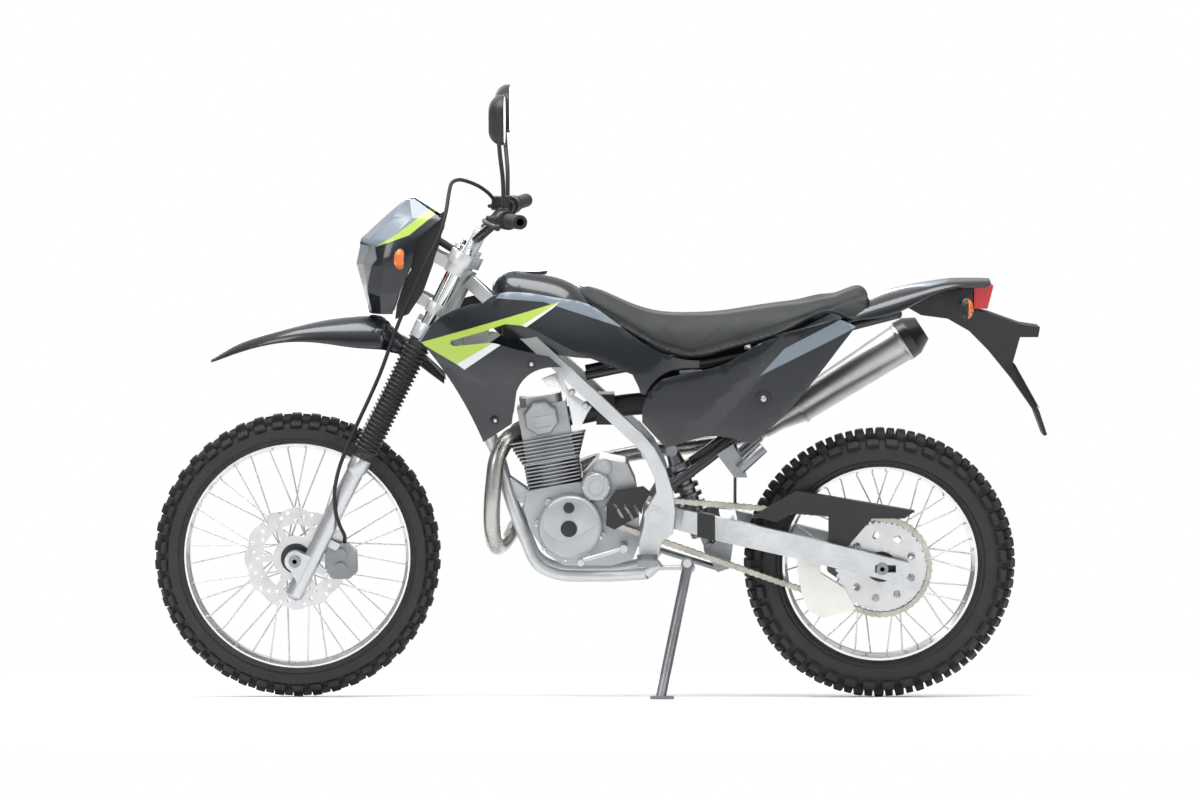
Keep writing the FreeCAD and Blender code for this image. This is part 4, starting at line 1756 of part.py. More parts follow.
def pillion_pegs(subframe_solid):
    """Ribbed rests folded up against their brackets."""
    (low_x, low_z), (high_x, high_z) = stations(PILLION_SHARES)
    peg = rod(vec(low_x, PILLION_Y, low_z), vec(high_x, PILLION_Y, high_z), PILLION_RADIUS)
    bracket = slab(stations(PILLION_BRACKET_SHARES), PILLION_Y - PILLION_RADIUS * 2, PILLION_Y - PILLION_RADIUS * 0.8)
    return both_sides(largest(joined([peg, bracket]).cut(subframe_solid)))


# Swingarm, shock and chain
ARM_SHARES = [(-0.1109, 0.4912, 0.0478, 22.0, 12.0, 10.0), (-0.1600, 0.4750, 0.0560, 25.0, 12.0, 12.0),
              (-0.2320, 0.4520, 0.0754, 27.5, 12.0, 12.0), (-0.3400, 0.4150, 0.0754, 27.5, 12.0, 12.0),
              (-0.5420, 0.3400, 0.0754, 26.0, 12.0, 14.0)]
PIVOT_TUBE_RADIUS = 23.0
PIVOT_TUBE_HALF = 84.0
ARM_BRACE_SHARES = [(-0.2250, 0.482), (-0.2250, 0.430), (-0.2540, 0.424), (-0.2540, 0.476)]
ARM_INNER_Y = 92.0
ARM_OUTER_Y = 116.0
AXLE_SLOT_SHARE = 1.9
SHOCK_TOP_SHARE = (-0.1420, 0.6480)
SHOCK_LOW_SHARE = (-0.2080, 0.3900)
SHOCK_RADIUS = 20.0
SPRING_RADIUS = 31.0
SPRING_WIRE = 5.5
SPRING_TURNS = 7
LINK_SHARES = [(-0.2300, 0.4320), (-0.2000, 0.3800), (-0.2220, 0.3300), (-0.2420, 0.3400), (-0.2500, 0.4260)]
LINK_Y = 24.0
LINK_WALL = 7.0
GUARD_SHARES = [(-0.2800, 0.4860), (-0.3530, 0.5520), (-0.5560, 0.4990), (-0.5390, 0.4800), (-0.4830, 0.4800),
                (-0.4430, 0.4080), (-0.4090, 0.4120), (-0.4090, 0.4860), (-0.3460, 0.4930), (-0.3200, 0.4700)]
GUARD_Y = 87.0
GUARD_WALL = 3.0
GUARD_LIP = 26.0
GUIDE_SHARES = [(-0.3570, 0.3540), (-0.3960, 0.3380), (-0.4370, 0.2980), (-0.4570, 0.2420), (-0.4000, 0.2220),
                (-0.3770, 0.2370), (-0.3640, 0.2820)]
GUIDE_LOW_Y = 62.0
GUIDE_HIGH_Y = 90.0
CHAIN_HALF = 9.0
CHAIN_PLATE_HALF = 7.4
CHAIN_GAP = 2.5
REAR_CALIPER_SHARES = [(-0.4130, 0.3960), (-0.4130, 0.3200), (-0.4280, 0.3040), (-0.4612, 0.3200), (-0.4612, 0.3900),
                       (-0.4400, 0.4100)]


def swingarm():
    """Two box arms from the pivot tube, a brace between them and a slotted axle plate each side."""
    rows = [(x * WHEELBASE, y * WHEELBASE, z * SEAT_HEIGHT, high, wide, slope) for x, z, y, high, wide, slope in ARM_SHARES]
    arm = beam(rows)
    slot = box(REAR_AXLE_X - AXLE_RADIUS * AXLE_SLOT_SHARE * 2, REAR_AXLE_X + AXLE_RADIUS * AXLE_SLOT_SHARE,
               ARM_INNER_Y - OVERRUN * 2, ARM_OUTER_Y + OVERRUN * 2, REAR_AXLE_Z - AXLE_RADIUS - SLIDE_GAP,
               REAR_AXLE_Z + AXLE_RADIUS + SLIDE_GAP)
    arm = arm.cut(slot)
    pivot = pivot_place()
    pivot_tube = cross_rod(pivot.x, pivot.z, PIVOT_TUBE_RADIUS, -PIVOT_TUBE_HALF, PIVOT_TUBE_HALF)
    brace = slab(stations(ARM_BRACE_SHARES), -ARM_INNER_Y, ARM_INNER_Y)
    whole = joined([arm, other_side(arm), pivot_tube, brace])
    return whole.cut(cross_rod(pivot.x, pivot.z, PIVOT_PIN_RADIUS + SLIDE_GAP, -BAR_WIDTH, BAR_WIDTH))


def pivot_bolt():
    pivot = pivot_place()
    end = CASTING_OUTER_Y + PIVOT_BOSS_WALL
    shank = cross_rod(pivot.x, pivot.z, PIVOT_PIN_RADIUS, -end - PIVOT_BOSS_WALL, end + PIVOT_BOSS_WALL)
    heads = [cross_rod(pivot.x, pivot.z, AXLE_HEAD_RADIUS, side * (end + SEAT_GAP), side * (end + PIVOT_BOSS_WALL))
             for side in (1, -1)]
    return joined([shank] + heads)


def rear_axle():
    """A hollow axle through both arms, with its spacers and nuts."""
    x, z = REAR_AXLE_X, REAR_AXLE_Z
    end = ARM_OUTER_Y + AXLE_HEAD_WALL
    shank = cross_rod(x, z, AXLE_RADIUS, -end, end)
    left = SPROCKET_Y + SPROCKET_WALL / 2 + AXLE_GAP
    right = -REAR_DISC_Y + AXLE_GAP
    pieces = [shank, cross_rod(x, z, SPACER_RADIUS, left, ARM_INNER_Y - SEAT_GAP),
              cross_rod(x, z, SPACER_RADIUS, -ARM_INNER_Y + SEAT_GAP, -right)]
    pieces += [cross_rod(x, z, AXLE_HEAD_RADIUS, side * (ARM_OUTER_Y + SEAT_GAP), side * end) for side in (1, -1)]
    return joined(pieces).cut(cross_rod(x, z, AXLE_BORE, -end - OVERRUN, end + OVERRUN))


def shock():
    """The single shock with its spring, and the linkage between it and the swingarm."""
    top_x, top_z = stations([SHOCK_TOP_SHARE])[0]
    low_x, low_z = stations([SHOCK_LOW_SHARE])[0]
    top, low = vec(top_x, 0, top_z), vec(low_x, 0, low_z)
    way = (top - low).normalize()
    length = (top - low).Length
    turn = (length * 0.62) / SPRING_TURNS
    profile = [(0, 0), (0, SHOCK_RADIUS * 0.6), (length * 0.14, SHOCK_RADIUS * 0.6), (length * 0.14, SPRING_RADIUS)]
    for index in range(SPRING_TURNS):
        begin = length * 0.16 + index * turn
        profile += [(begin, SPRING_RADIUS), (begin + turn * 0.45, SPRING_RADIUS),
                    (begin + turn * 0.5, SHOCK_RADIUS), (begin + turn * 0.95, SHOCK_RADIUS)]
    profile += [(length * 0.80, SPRING_RADIUS), (length * 0.86, SPRING_RADIUS), (length * 0.86, SHOCK_RADIUS),
                (length, SHOCK_RADIUS * 0.7), (length, 0)]
    body = turned_about(low, way, profile)
    eyes = [cross_rod(place.x, place.z, SHOCK_RADIUS * 0.7, -SHOCK_RADIUS, SHOCK_RADIUS) for place in (top, low)]
    return joined([body] + eyes)


def linkage():
    plate = slab(stations(LINK_SHARES), LINK_Y - LINK_WALL, LINK_Y)
    x, z = stations([LINK_SHARES[2]])[0]
    end_x, end_z = stations([LOWER_CROSS_SHARE])[0]
    pull = rod(vec(x, 0, z + LINK_WALL), vec(end_x - CROSS_TUBE_RADIUS - SEAT_GAP, 0, end_z), LINK_WALL)
    pin = cross_rod(x, z + LINK_WALL, LINK_WALL * 0.8, -LINK_Y, LINK_Y)
    low_x, low_z = stations([SHOCK_LOW_SHARE])[0]
    whole = joined([plate, other_side(plate), pull, pin])
    return largest(whole.cut(swingarm()).cut(frame()))


def chain_band(offset, y_half):
    """The area inside the chain's loop, grown by an offset from its pitch line."""
    rear = vec(REAR_AXLE_X, SPROCKET_Y - y_half, REAR_AXLE_Z)
    fore = vec(drive_place().x, SPROCKET_Y - y_half, drive_place().z)
    rear_radius = pitch_radius(SPROCKET_TEETH) + offset
    fore_radius = pitch_radius(DRIVE_TEETH) + offset
    way = (fore - rear).normalize()
    across = vec(-way.z, 0, way.x)
    lean = (rear_radius - fore_radius) / (fore - rear).Length
    spread = math.sqrt(1 - lean * lean)
    up = way * lean + across * spread
    down = way * lean - across * spread
    edges = [Part.LineSegment(rear + up * rear_radius, fore + up * fore_radius).toShape(),
             Part.Arc(fore + up * fore_radius, fore + way * fore_radius, fore + down * fore_radius).toShape(),
             Part.LineSegment(fore + down * fore_radius, rear + down * rear_radius).toShape(),
             Part.Arc(rear + down * rear_radius, rear - way * rear_radius, rear + up * rear_radius).toShape()]
    return Part.Face(Part.Wire(edges)).extrude(vec(0, y_half * 2, 0))


def chain():
    """The drive chain's closed loop."""
    return chain_band(CHAIN_PLATE_HALF, CHAIN_HALF).cut(chain_band(-CHAIN_ROLLER_RADIUS, CHAIN_HALF + OVERRUN))


def chain_guard():
    """A cover over the chain's upper run: an outer wall with a lip along its top."""
    outline = stations(GUARD_SHARES)
    wall = slab(outline, GUARD_Y, GUARD_Y + GUARD_WALL)
    top = stations(GUARD_LIP_SHARES)
    lip_line = top + [(x, z - GUARD_WALL * 1.3) for x, z in reversed(top)]
    lip = slab(lip_line, GUARD_Y - GUARD_LIP, GUARD_Y + GUARD_WALL)
    x, z = stations([GUARD_BOLT_SHARE])[0]
    bolt = cross_rod(x, z, PEDAL_RADIUS, GUARD_Y, ARM_INNER_Y - SEAT_GAP)
    return joined([wall, lip, bolt])


GUARD_LIP_SHARES = [(-0.3240, 0.5250), (-0.3530, 0.5520), (-0.5560, 0.4990)]
GUARD_BOLT_SHARE = (-0.4260, 0.4180)


def chain_guide():
    """A block round the chain's lower run, hung from the arm."""
    block = slab(stations(GUIDE_SHARES), GUIDE_LOW_Y, GUIDE_HIGH_Y)
    tunnel = chain_band(CHAIN_PLATE_HALF + CHAIN_GAP, CHAIN_HALF + CHAIN_GAP).cut(
        chain_band(-CHAIN_PLATE_HALF - CHAIN_GAP, CHAIN_HALF * 2))
    tab = box(GUIDE_SHARES[1][0] * WHEELBASE, GUIDE_SHARES[0][0] * WHEELBASE, GUIDE_HIGH_Y - OVERRUN, ARM_INNER_Y - SEAT_GAP,
              GUIDE_SHARES[1][1] * SEAT_HEIGHT - OVERRUN, GUIDE_TAB_SHARE * SEAT_HEIGHT)
    room = cross_rod(REAR_AXLE_X, REAR_AXLE_Z, pitch_radius(SPROCKET_TEETH) + CHAIN_GAP,
                     SPROCKET_Y - SPROCKET_WALL / 2 - OVERRUN, SPROCKET_Y + SPROCKET_WALL / 2 + OVERRUN)
    return largest(joined([block, tab]).cut(tunnel).cut(room))


GUIDE_TAB_SHARE = 0.385


def rear_caliper():
    """The rear caliper ahead of the axle on the right, on a bracket that hangs from the axle."""
    middle = REAR_DISC_Y + DISC_WALL / 2
    body = slab(stations(REAR_CALIPER_SHARES), -ARM_INNER_Y + SEAT_GAP, middle + CALIPER_INNER)
    slot = cross_rod(REAR_AXLE_X, REAR_AXLE_Z, REAR_DISC_RADIUS + CALIPER_SLOT, middle - CALIPER_SLOT, middle + CALIPER_SLOT)
    return largest(body.cut(slot))


# The machine as a set of named sub-parts
def bodywork():
    """Tank, panels, seat and frame, each cut to fit the one that carries it."""
    main_frame = frame()
    rails = subframe()
    muffler_room = muffler_clearance()
    shroud = largest(joined([left_shroud(), panel_boss(SHROUD_BOSS_SHARE)]).cut(main_frame))
    cover = largest(joined([left_cover(), panel_boss(COVER_BOSS_SHARE)]).cut(rails))
    right_cover = largest(other_side(cover).cut(muffler_room))
    shrouds = both_sides(shroud)
    covers = apart([cover, right_cover])
    tank = fuel_tank(shroud, main_frame)
    return {
        "frame": joined([main_frame, pivot_bolt()]),
        "subframe": rails,
        "shrouds": shrouds,
        "side_covers": covers,
        "fuel_tank": tank,
        "seat": seat([tank, shrouds, covers, rails, tail_fender()]),
        "footpegs": apart([footpegs(), pillion_pegs(rails)]),
        "pedals": pedals(main_frame),
    }


def muffler_clearance():
    start, way = muffler_line()
    far = start + way * MUFFLER_LENGTH
    return rod(start - way * MUFFLER_RADIUS * 2, far, MUFFLER_RADIUS + RING_RISE + MUFFLER_GAP)


def all_parts():
    parts = {}
    parts.update(front_wheel())
    parts.update(rear_wheel())
    ground = ground_level([parts["front_tyre"], parts["rear_tyre"]])
    fender = front_fender()
    parts.update({
        "front_axle": front_axle(),
        "fork_lowers": fork_lowers(),
        "fork_tubes": fork_tubes(),
        "fork_boots": fork_boots(),
        "triple_clamps": joined([triple_clamps(), headlight_stays()] + fender_posts(fender)),
        "handlebar": handlebar(),
        "grips": grips(),
        "controls": controls(),
        "mirrors": mirrors(),
        "mirror_glasses": mirror_glasses(),
        "headlight_cowl": headlight_cowl(),
        "headlight_lens": headlight_lens(),
        "gauge": gauge(),
        "front_fender": fender,
        "front_indicators": front_indicators(),
        "front_caliper": front_caliper(),
        "brake_hose": brake_hose(),
        "side_stand": side_stand(ground),
    })
    parts.update(bodywork())
    parts.update({
        "crankcase": joined([crankcase(), drive_sprocket()]),
        "cylinder": cylinder(),
        "cylinder_head": cylinder_head(),
        "engine_covers": engine_covers(),
        "sprocket_cover": sprocket_cover(),
        "exhaust_pipe": exhaust_pipe(),
        "muffler": muffler(),
        "muffler_cap": muffler_cap(),
        "intake": joined([throttle_body(), airbox()]).cut(cylinder_head()),
        "tail_fender": tail_fender(),
        "tail_light": tail_light(),
        "plate_bracket": apart([plate_bracket(), number_plate()]),
        "rear_indicators": rear_indicators(),
        "swingarm": swingarm(),
        "rear_axle": rear_axle(),
        "shock": joined([shock(), linkage()]),
        "chain": chain(),
        "chain_guard": chain_guard(),
        "chain_guide": chain_guide(),
        "rear_caliper": rear_caliper(),
    })
    return parts


def shift_to_origin(shapes):
    """The move that puts the leaned machine's box centre over the origin, on the ground."""
    bounds = FreeCAD.BoundBox()
    for shape in shapes:
        bounds.add(shape.optimalBoundingBox(True, False))
    return vec(-(bounds.XMin + bounds.XMax) / 2, -(bounds.YMin + bounds.YMax) / 2, -bounds.ZMin)


def placed_point(point, shift):
    return FreeCAD.Rotation(X_WAY, -LEAN_DEG).multVec(point) + shift


def placed_way(way):
    return FreeCAD.Rotation(X_WAY, -LEAN_DEG).multVec(way)


def main():
    os.makedirs("parts", exist_ok=True)
    standing = {name: leaned(shape) for name, shape in all_parts().items()}
    shift = shift_to_origin(standing.values())
    for name, shape in standing.items():
        shape.translate(shift)
        shape.exportStep("parts/" + name + ".step")
        print(name, "solids", len(shape.Solids), "volume", round(shape.Volume), "valid", shape.isValid())
    down, up, stand_axis = stand_ways()
    places = {
        "steering": (fork_point(LOWER_CLAMP_LOW, 0, 0), UP_FORK),
        "front_axle": (vec(FRONT_AXLE_X, 0, FRONT_AXLE_Z), Y_WAY),
        "rear_axle": (vec(REAR_AXLE_X, 0, REAR_AXLE_Z), Y_WAY),
        "stand": (stand_pivot(), stand_axis),
        "bar_left": (bar_points()[0], grip_way() * -1),
        "bar_right": (bar_points()[-1], (bar_points()[-1] - bar_points()[-2]).normalize()),
    }
    for name, (point, way) in places.items():
        print(name, "at", placed_point(point, shift), "along", placed_way(way))
    print("stand swing in degrees", stand_swing_deg())


main()
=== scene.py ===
import json
import math

import bmesh
import bpy
from mathutils import Matrix, Vector
from mathutils.bvhtree import BVHTree


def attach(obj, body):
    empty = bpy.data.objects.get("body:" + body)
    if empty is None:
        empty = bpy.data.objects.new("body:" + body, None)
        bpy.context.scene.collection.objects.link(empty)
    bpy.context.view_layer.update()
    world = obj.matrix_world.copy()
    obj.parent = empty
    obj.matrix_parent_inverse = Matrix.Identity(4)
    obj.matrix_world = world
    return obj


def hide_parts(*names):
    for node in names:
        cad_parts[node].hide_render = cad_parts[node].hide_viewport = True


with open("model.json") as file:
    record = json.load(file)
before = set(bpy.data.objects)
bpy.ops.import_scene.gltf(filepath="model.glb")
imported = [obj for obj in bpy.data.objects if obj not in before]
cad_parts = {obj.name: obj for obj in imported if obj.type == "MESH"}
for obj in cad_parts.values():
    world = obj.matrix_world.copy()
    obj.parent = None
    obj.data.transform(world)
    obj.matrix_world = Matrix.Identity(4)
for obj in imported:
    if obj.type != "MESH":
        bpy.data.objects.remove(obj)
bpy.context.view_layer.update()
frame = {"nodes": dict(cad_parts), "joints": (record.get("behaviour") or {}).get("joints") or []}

# Frame: cast and extruded aluminium, welded at the head and painted silver. Twin spars run
# down from the head tube to the pivot plates, and a cradle of tube passes under the engine.
# Its castings have small rounded edges and its paint a faint sand-cast grain.

AXLE_UPRIGHT = Vector((-0.690, 0.0, 0.321))
# tones drift over patches this wide, so that no surface is one flat colour
CLOUD_MM = 60.0
# corners nearer than this are one, in metres
MERGE = 0.00002


def joint(name):
    return next(entry for entry in frame["joints"] if entry["name"] == name)


def leaning():
    """The turn and move from the machine standing upright to the machine on its stand."""
    hinge = joint("rear_wheel_spin")
    turn = Vector((0, 1, 0)).rotation_difference(Vector(hinge["axis"])).to_matrix().to_4x4()
    return Matrix.Translation(hinge["pos_m"]) @ turn @ Matrix.Translation(-AXLE_UPRIGHT)


LEAN = leaning()
LEAN_TURN = LEAN.to_euler()


def linear(hex_colour):
    """The linear colour, with alpha 1, of an sRGB hex value."""
    parts = [int(hex_colour[i:i + 2], 16) / 255 for i in (1, 3, 5)]
    return [p / 12.92 if p <= 0.04045 else ((p + 0.055) / 1.055) ** 2.4 for p in parts] + [1.0]


def add(tree, kind, links=None, **settings):
    """Adds a node. A link is a socket or a plain value, by the input's name or number."""
    node = tree.nodes.new(kind)
    for name, value in settings.items():
        setattr(node, name, value)
    for name, value in (links or {}).items():
        socket = node.inputs[name]
        if isinstance(value, bpy.types.NodeSocket):
            tree.links.new(value, socket)
        else:
            socket.default_value = value
    return node


def blank(name):
    """A new material and its tree, with coordinates of the machine standing upright."""
    material = bpy.data.materials.new(name)
    material.use_nodes = True
    tree = material.node_tree
    tree.nodes.clear()
    spot = add(tree, "ShaderNodeTexCoord")
    upright = add(tree, "ShaderNodeMapping", {"Vector": spot.outputs["Object"], "Location": LEAN.translation,
                                              "Rotation": LEAN_TURN}, vector_type="TEXTURE")
    return material, tree, upright.outputs[0]


def finish(name, base, second, metallic, roughness, grain_mm, relief_mm, stretch=(1, 1, 1), coat=0.0):
    """A finish of two near tones, mixed by a grain that also moves its gloss and its relief."""
    material, tree, upright = blank(name)
    spread = add(tree, "ShaderNodeMapping", {"Vector": upright, "Scale": stretch})
    grain = add(tree, "ShaderNodeTexNoise", {"Vector": spread.outputs[0], "Scale": 1000 / grain_mm,
                                             "Detail": 4.0})
    cloud = add(tree, "ShaderNodeTexNoise", {"Vector": upright, "Scale": 1000 / CLOUD_MM, "Detail": 2.0})
    blend = add(tree, "ShaderNodeMath", {0: grain.outputs[0], 1: cloud.outputs[0]}, operation="MULTIPLY")
    share = add(tree, "ShaderNodeMapRange", {0: blend.outputs[0], 1: 0.12, 2: 0.42})
    colour = add(tree, "ShaderNodeMix", {0: share.outputs[0], 6: linear(base), 7: linear(second)},
                 data_type="RGBA")
    gloss = add(tree, "ShaderNodeMapRange", {0: grain.outputs[0], 1: 0.3, 2: 0.7, 3: roughness * 0.88,
                                             4: min(roughness * 1.14, 1.0)})
    relief = add(tree, "ShaderNodeBump", {"Height": grain.outputs[0], "Distance": relief_mm / 1000,
                                          "Strength": 1.0})
    shader = add(tree, "ShaderNodeBsdfPrincipled", {"Base Color": colour.outputs[2], "Metallic": metallic,
                                                    "Roughness": gloss.outputs[0], "Normal": relief.outputs[0],
                                                    "Coat Weight": coat, "Coat Roughness": 0.08})
    add(tree, "ShaderNodeOutputMaterial", {"Surface": shader.outputs[0]})
    return material


def round_edges(piece, edge_mm):
    """Rounds a piece's sharp edges, so that they catch the light."""
    bevel = piece.modifiers.new("Bevel", "BEVEL")
    bevel.width = edge_mm / 1000
    bevel.segments = 2
    bevel.limit_method = "ANGLE"
    bevel.angle_limit = math.radians(50)
    bevel.harden_normals = True


def wear(node, material, edge_mm=0.0):
    """Gives a CAD node its material and, with a width, rounded edges that catch the light."""
    piece = frame["nodes"][node]
    piece.data.materials.clear()
    piece.data.materials.append(material)
    if edge_mm:
        piece.modifiers.new("Weld", "WELD").merge_threshold = MERGE
        round_edges(piece, edge_mm)


# silver paint over cast aluminium: pale, satin, with a fine cast grain under it
silver_paint = finish("silver_frame_paint", "#c6c8ca", "#b6b9bb", 0.55, 0.38, 1.4, 0.05, coat=0.25)
# semi-gloss black paint over steel tube
black_paint = finish("black_tube_paint", "#141517", "#1c1d20", 0.0, 0.36, 1.0, 0.02, coat=0.2)

wear("frame", silver_paint, 1.2)
wear("subframe", black_paint)

# Swingarm: two extruded aluminium beams, clear anodised, welded to a cast pivot yoke. The
# beams are brushed lengthwise, and the axle blocks at their ends carry the chain adjusters.

# clear anodised aluminium, brushed along the beam: fine bright lines 0.6 mm apart
beam_alloy = finish("anodised_beam_alloy", "#c9cbcd", "#a9acaf", 0.9, 0.34, 0.6, 0.02, (0.04, 1, 1))
# zinc plated steel: dull, slightly mottled
plated_steel = finish("zinc_plated_steel", "#8f9296", "#77797c", 0.95, 0.36, 2.0, 0.01)

wear("swingarm", beam_alloy, 1.0)
wear("rear_axle", plated_steel, 0.4)
wear("shock", plated_steel, 0.4)
wear("side_stand", plated_steel, 0.5)

# Chain slider: a moulded rubber sleeve round the left beam, just behind its pivot. It keeps
# the chain off the aluminium, so it follows the beam's own surface and stands 2.5 mm proud.

SLEEVE_WALL = 0.0025
SLEEVE_FORE = -0.256
SLEEVE_AFT = -0.297
SLEEVE_INNER_Y = 0.05
# how near a cut a corner counts as lying on it, in metres
CUT_REACH = 0.000001


def as_data(name, mesh):
    """A finished bmesh as mesh data."""
    data = bpy.data.meshes.new(name)
    mesh.to_mesh(data)
    mesh.free()
    return data


def as_object(name, mesh):
    """A finished bmesh as an object in the scene."""
    made = bpy.data.objects.new(name, as_data(name, mesh))
    bpy.context.scene.collection.objects.link(made)
    return made


def new_piece(name, mesh, body, material, smooth_deg=35):
    """A finished bmesh as a smooth piece that rides on a CAD body."""
    piece = as_object(name, mesh)
    piece.data.shade_smooth()
    piece.data.set_sharp_from_angle(angle=math.radians(smooth_deg))
    piece.data.materials.append(material)
    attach(piece, body)
    return piece


def lean_over(mesh):
    """Moves a mesh drawn on the upright machine to its place on the stand."""
    bmesh.ops.transform(mesh, matrix=LEAN, verts=mesh.verts)


def upright_copy(node):
    """A node's mesh, its doubled corners merged, on the machine standing upright."""
    mesh = bmesh.new()
    mesh.from_mesh(frame["nodes"][node].data)
    bmesh.ops.remove_doubles(mesh, verts=mesh.verts, dist=MERGE)
    bmesh.ops.transform(mesh, matrix=LEAN.inverted(), verts=mesh.verts)
    return mesh


def whole(mesh):
    """All the parts of a mesh."""
    return mesh.verts[:] + mesh.edges[:] + mesh.faces[:]


def sleeve_on(node, fore, aft, low_y, wall):
    """The skin of a node between two stations and left of low_y, thickened outwards."""
    mesh = upright_copy(node)
    cuts = (((fore, 0, 0), (1, 0, 0)), ((aft, 0, 0), (-1, 0, 0)), ((0, low_y, 0), (0, -1, 0)))
    for place, out in cuts:
        bmesh.ops.bisect_plane(mesh, geom=whole(mesh), dist=CUT_REACH, plane_co=place, plane_no=out,
                               clear_outer=True)
    bmesh.ops.recalc_face_normals(mesh, faces=mesh.faces)
    bmesh.ops.solidify(mesh, geom=mesh.faces[:], thickness=-wall)
    return mesh


# black slider rubber: smooth, slightly waxy
slider_rubber = finish("chain_slider_rubber", "#161718", "#202122", 0.0, 0.5, 1.5, 0.04)
sleeve = sleeve_on("swingarm", SLEEVE_FORE, SLEEVE_AFT, SLEEVE_INNER_Y, SLEEVE_WALL)
lean_over(sleeve)
chain_slider = new_piece("chain_slider", sleeve, "main", slider_rubber)

# Tyres: black rubber moulded over a fabric carcass, with tall separate knobs in rows that
# step round the tread by half a pitch. The knobs' walls draw inwards, and their edges are
# hardly rounded. The sidewall has a fine moulded grain and a raised ring above the rim.

FRONT_AXLE = Vector((0.690, 0.0, 0.339))
KNOB_DRAFT = 0.84
KNOB_EDGE = 0.0011
KNOB_ROOT = 0.003
KNOB_SINK = 0.0012
SHOULDER = math.radians(62)
CROWN_SHARE = 1.14
WALL_SHARE = 0.93
# the sidewall, as heights over its middle and then over the bead, each with a share of its width
WALL_SHARES = [(0.016, 1.0), (0.002, 1.01), (-0.006, 0.98)]
FOOT_SHARES = [(0.016, 0.86), (0.012, 0.86), (0.010, 0.80)]
BEAD_LIP = 0.001
CARCASS_STEPS = 96


def append(mesh, part):
    """Adds a finished part to a mesh."""
    data = as_data("part", part)
    mesh.from_mesh(data)
    bpy.data.meshes.remove(data)


def spun_ring(mesh, outline, axle, steps):
    """Spins a closed outline of (radius, y) about an axle that lies across the machine."""
    corners = [mesh.verts.new((axle.x, y, axle.z + radius)) for radius, y in outline]
    edges = [mesh.edges.new((a, b)) for a, b in zip(corners, corners[1:] + corners[:1])]
    bmesh.ops.spin(mesh, geom=corners + edges, cent=axle, axis=(0, 1, 0), angle=math.tau, steps=steps,
                   use_merge=True)
    bmesh.ops.remove_doubles(mesh, verts=mesh.verts, dist=MERGE / 2)
    bmesh.ops.recalc_face_normals(mesh, faces=mesh.faces)


def knob(mesh, length, width, height, matrix):
    """One rubber knob, its foot sunk in the carcass and its walls drawn in towards the top."""
    block = bmesh.ops.create_cube(mesh, size=1.0, matrix=Matrix.Diagonal((length, width, height, 1)))["verts"]
    for corner in block:
        if corner.co.z > 0:
            corner.co.x *= KNOB_DRAFT
            corner.co.y *= KNOB_DRAFT
    top = [e for e in {e for v in block for e in v.link_edges} if max(v.co.z for v in e.verts) > 0]
    rounded = bmesh.ops.bevel(mesh, geom=top, offset=KNOB_EDGE, segments=1, profile=0.5, affect="EDGES",
                              material=-1)
    shape = set(block) | set(rounded["verts"])
    bmesh.ops.transform(mesh, matrix=matrix, verts=[v for v in shape if v.is_valid])


def knobby_tyre(name, body, axle, radius, half_width, bead_radius, bead_half, pitches, knob_height, rows):
    """A carcass spun about the axle, and rows of knobs: (degrees across the crown, shift, length, width)."""
    mesh = bmesh.new()
    crown = half_width * CROWN_SHARE
    centre = radius - crown
    shell = crown - knob_height
    arc = [SHOULDER * (i / 8 - 1) for i in range(17)]
    tread = [(centre + shell * math.cos(a), shell * math.sin(a)) for a in arc]
    side = half_width * WALL_SHARE
    middle = (bead_radius + centre + shell * math.cos(SHOULDER)) / 2
    wall = [(middle + rise, side * share) for rise, share in WALL_SHARES]
    wall += [(bead_radius + rise, side * share) for rise, share in FOOT_SHARES]
    wall.append((bead_radius + BEAD_LIP, bead_half))
    outline = tread + wall + [(r, -y) for r, y in reversed(wall)]
    spun_ring(mesh, outline, axle, CARCASS_STEPS)
    pattern = bmesh.new()
    for across, shift, length, width in rows:
        a = math.radians(across)
        round_wheel = Matrix.Rotation(math.tau * shift / pitches, 4, "Y")
        on_crown = Matrix.Translation((0, 0, centre)) @ Matrix.Rotation(-a, 4, "X")
        out = Matrix.Translation((0, 0, crown - knob_height / 2 - KNOB_SINK))
        knob(pattern, length / 1000, width / 1000, knob_height + KNOB_ROOT, round_wheel @ on_crown @ out)
    bmesh.ops.translate(pattern, verts=pattern.verts, vec=axle)
    bmesh.ops.spin(pattern, geom=whole(pattern), cent=axle, axis=(0, 1, 0),
                   angle=math.tau * (pitches - 1) / pitches, steps=pitches - 1, use_duplicate=True)
    append(mesh, pattern)
    lean_over(mesh)
    return new_piece(name, mesh, body, tyre_rubber, 40)


# new tyre rubber: nearly black, matt on the knobs, with a moulding grain of about 1 mm
tyre_rubber = finish("tyre_rubber", "#1a1a1b", "#242425", 0.0, 0.62, 1.2, 0.06)

front_rows = [(-10, 0.0, 25, 14), (10, 0.0, 25, 14), (-33, 0.5, 22, 15), (33, 0.5, 22, 15),
              (-57, 0.0, 30, 13), (57, 0.0, 30, 13)]
rear_rows = [(0, 0.0, 22, 34), (-30, 0.0, 24, 20), (30, 0.0, 24, 20), (0, 0.5, 19, 14),
             (-24, 0.5, 19, 20), (24, 0.5, 19, 20), (-57, 0.45, 33, 17), (57, 0.45, 33, 17)]
front_tyre = knobby_tyre("knobby_front_tyre", "front_wheel", FRONT_AXLE, 0.339, 0.040, 0.2667, 0.024, 46, 0.011,
                         front_rows)
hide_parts("front_tyre")
rear_tyre = knobby_tyre("knobby_rear_tyre", "rear_wheel", AXLE_UPRIGHT, 0.321, 0.054, 0.2286, 0.029, 40, 0.013,
                        rear_rows)
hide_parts("rear_tyre")

# Wheels: rolled aluminium rims, polished, laced to painted hubs with bright steel spokes.
# Both discs are stamped stainless steel with a wavy edge and slots, ground in fine circles.

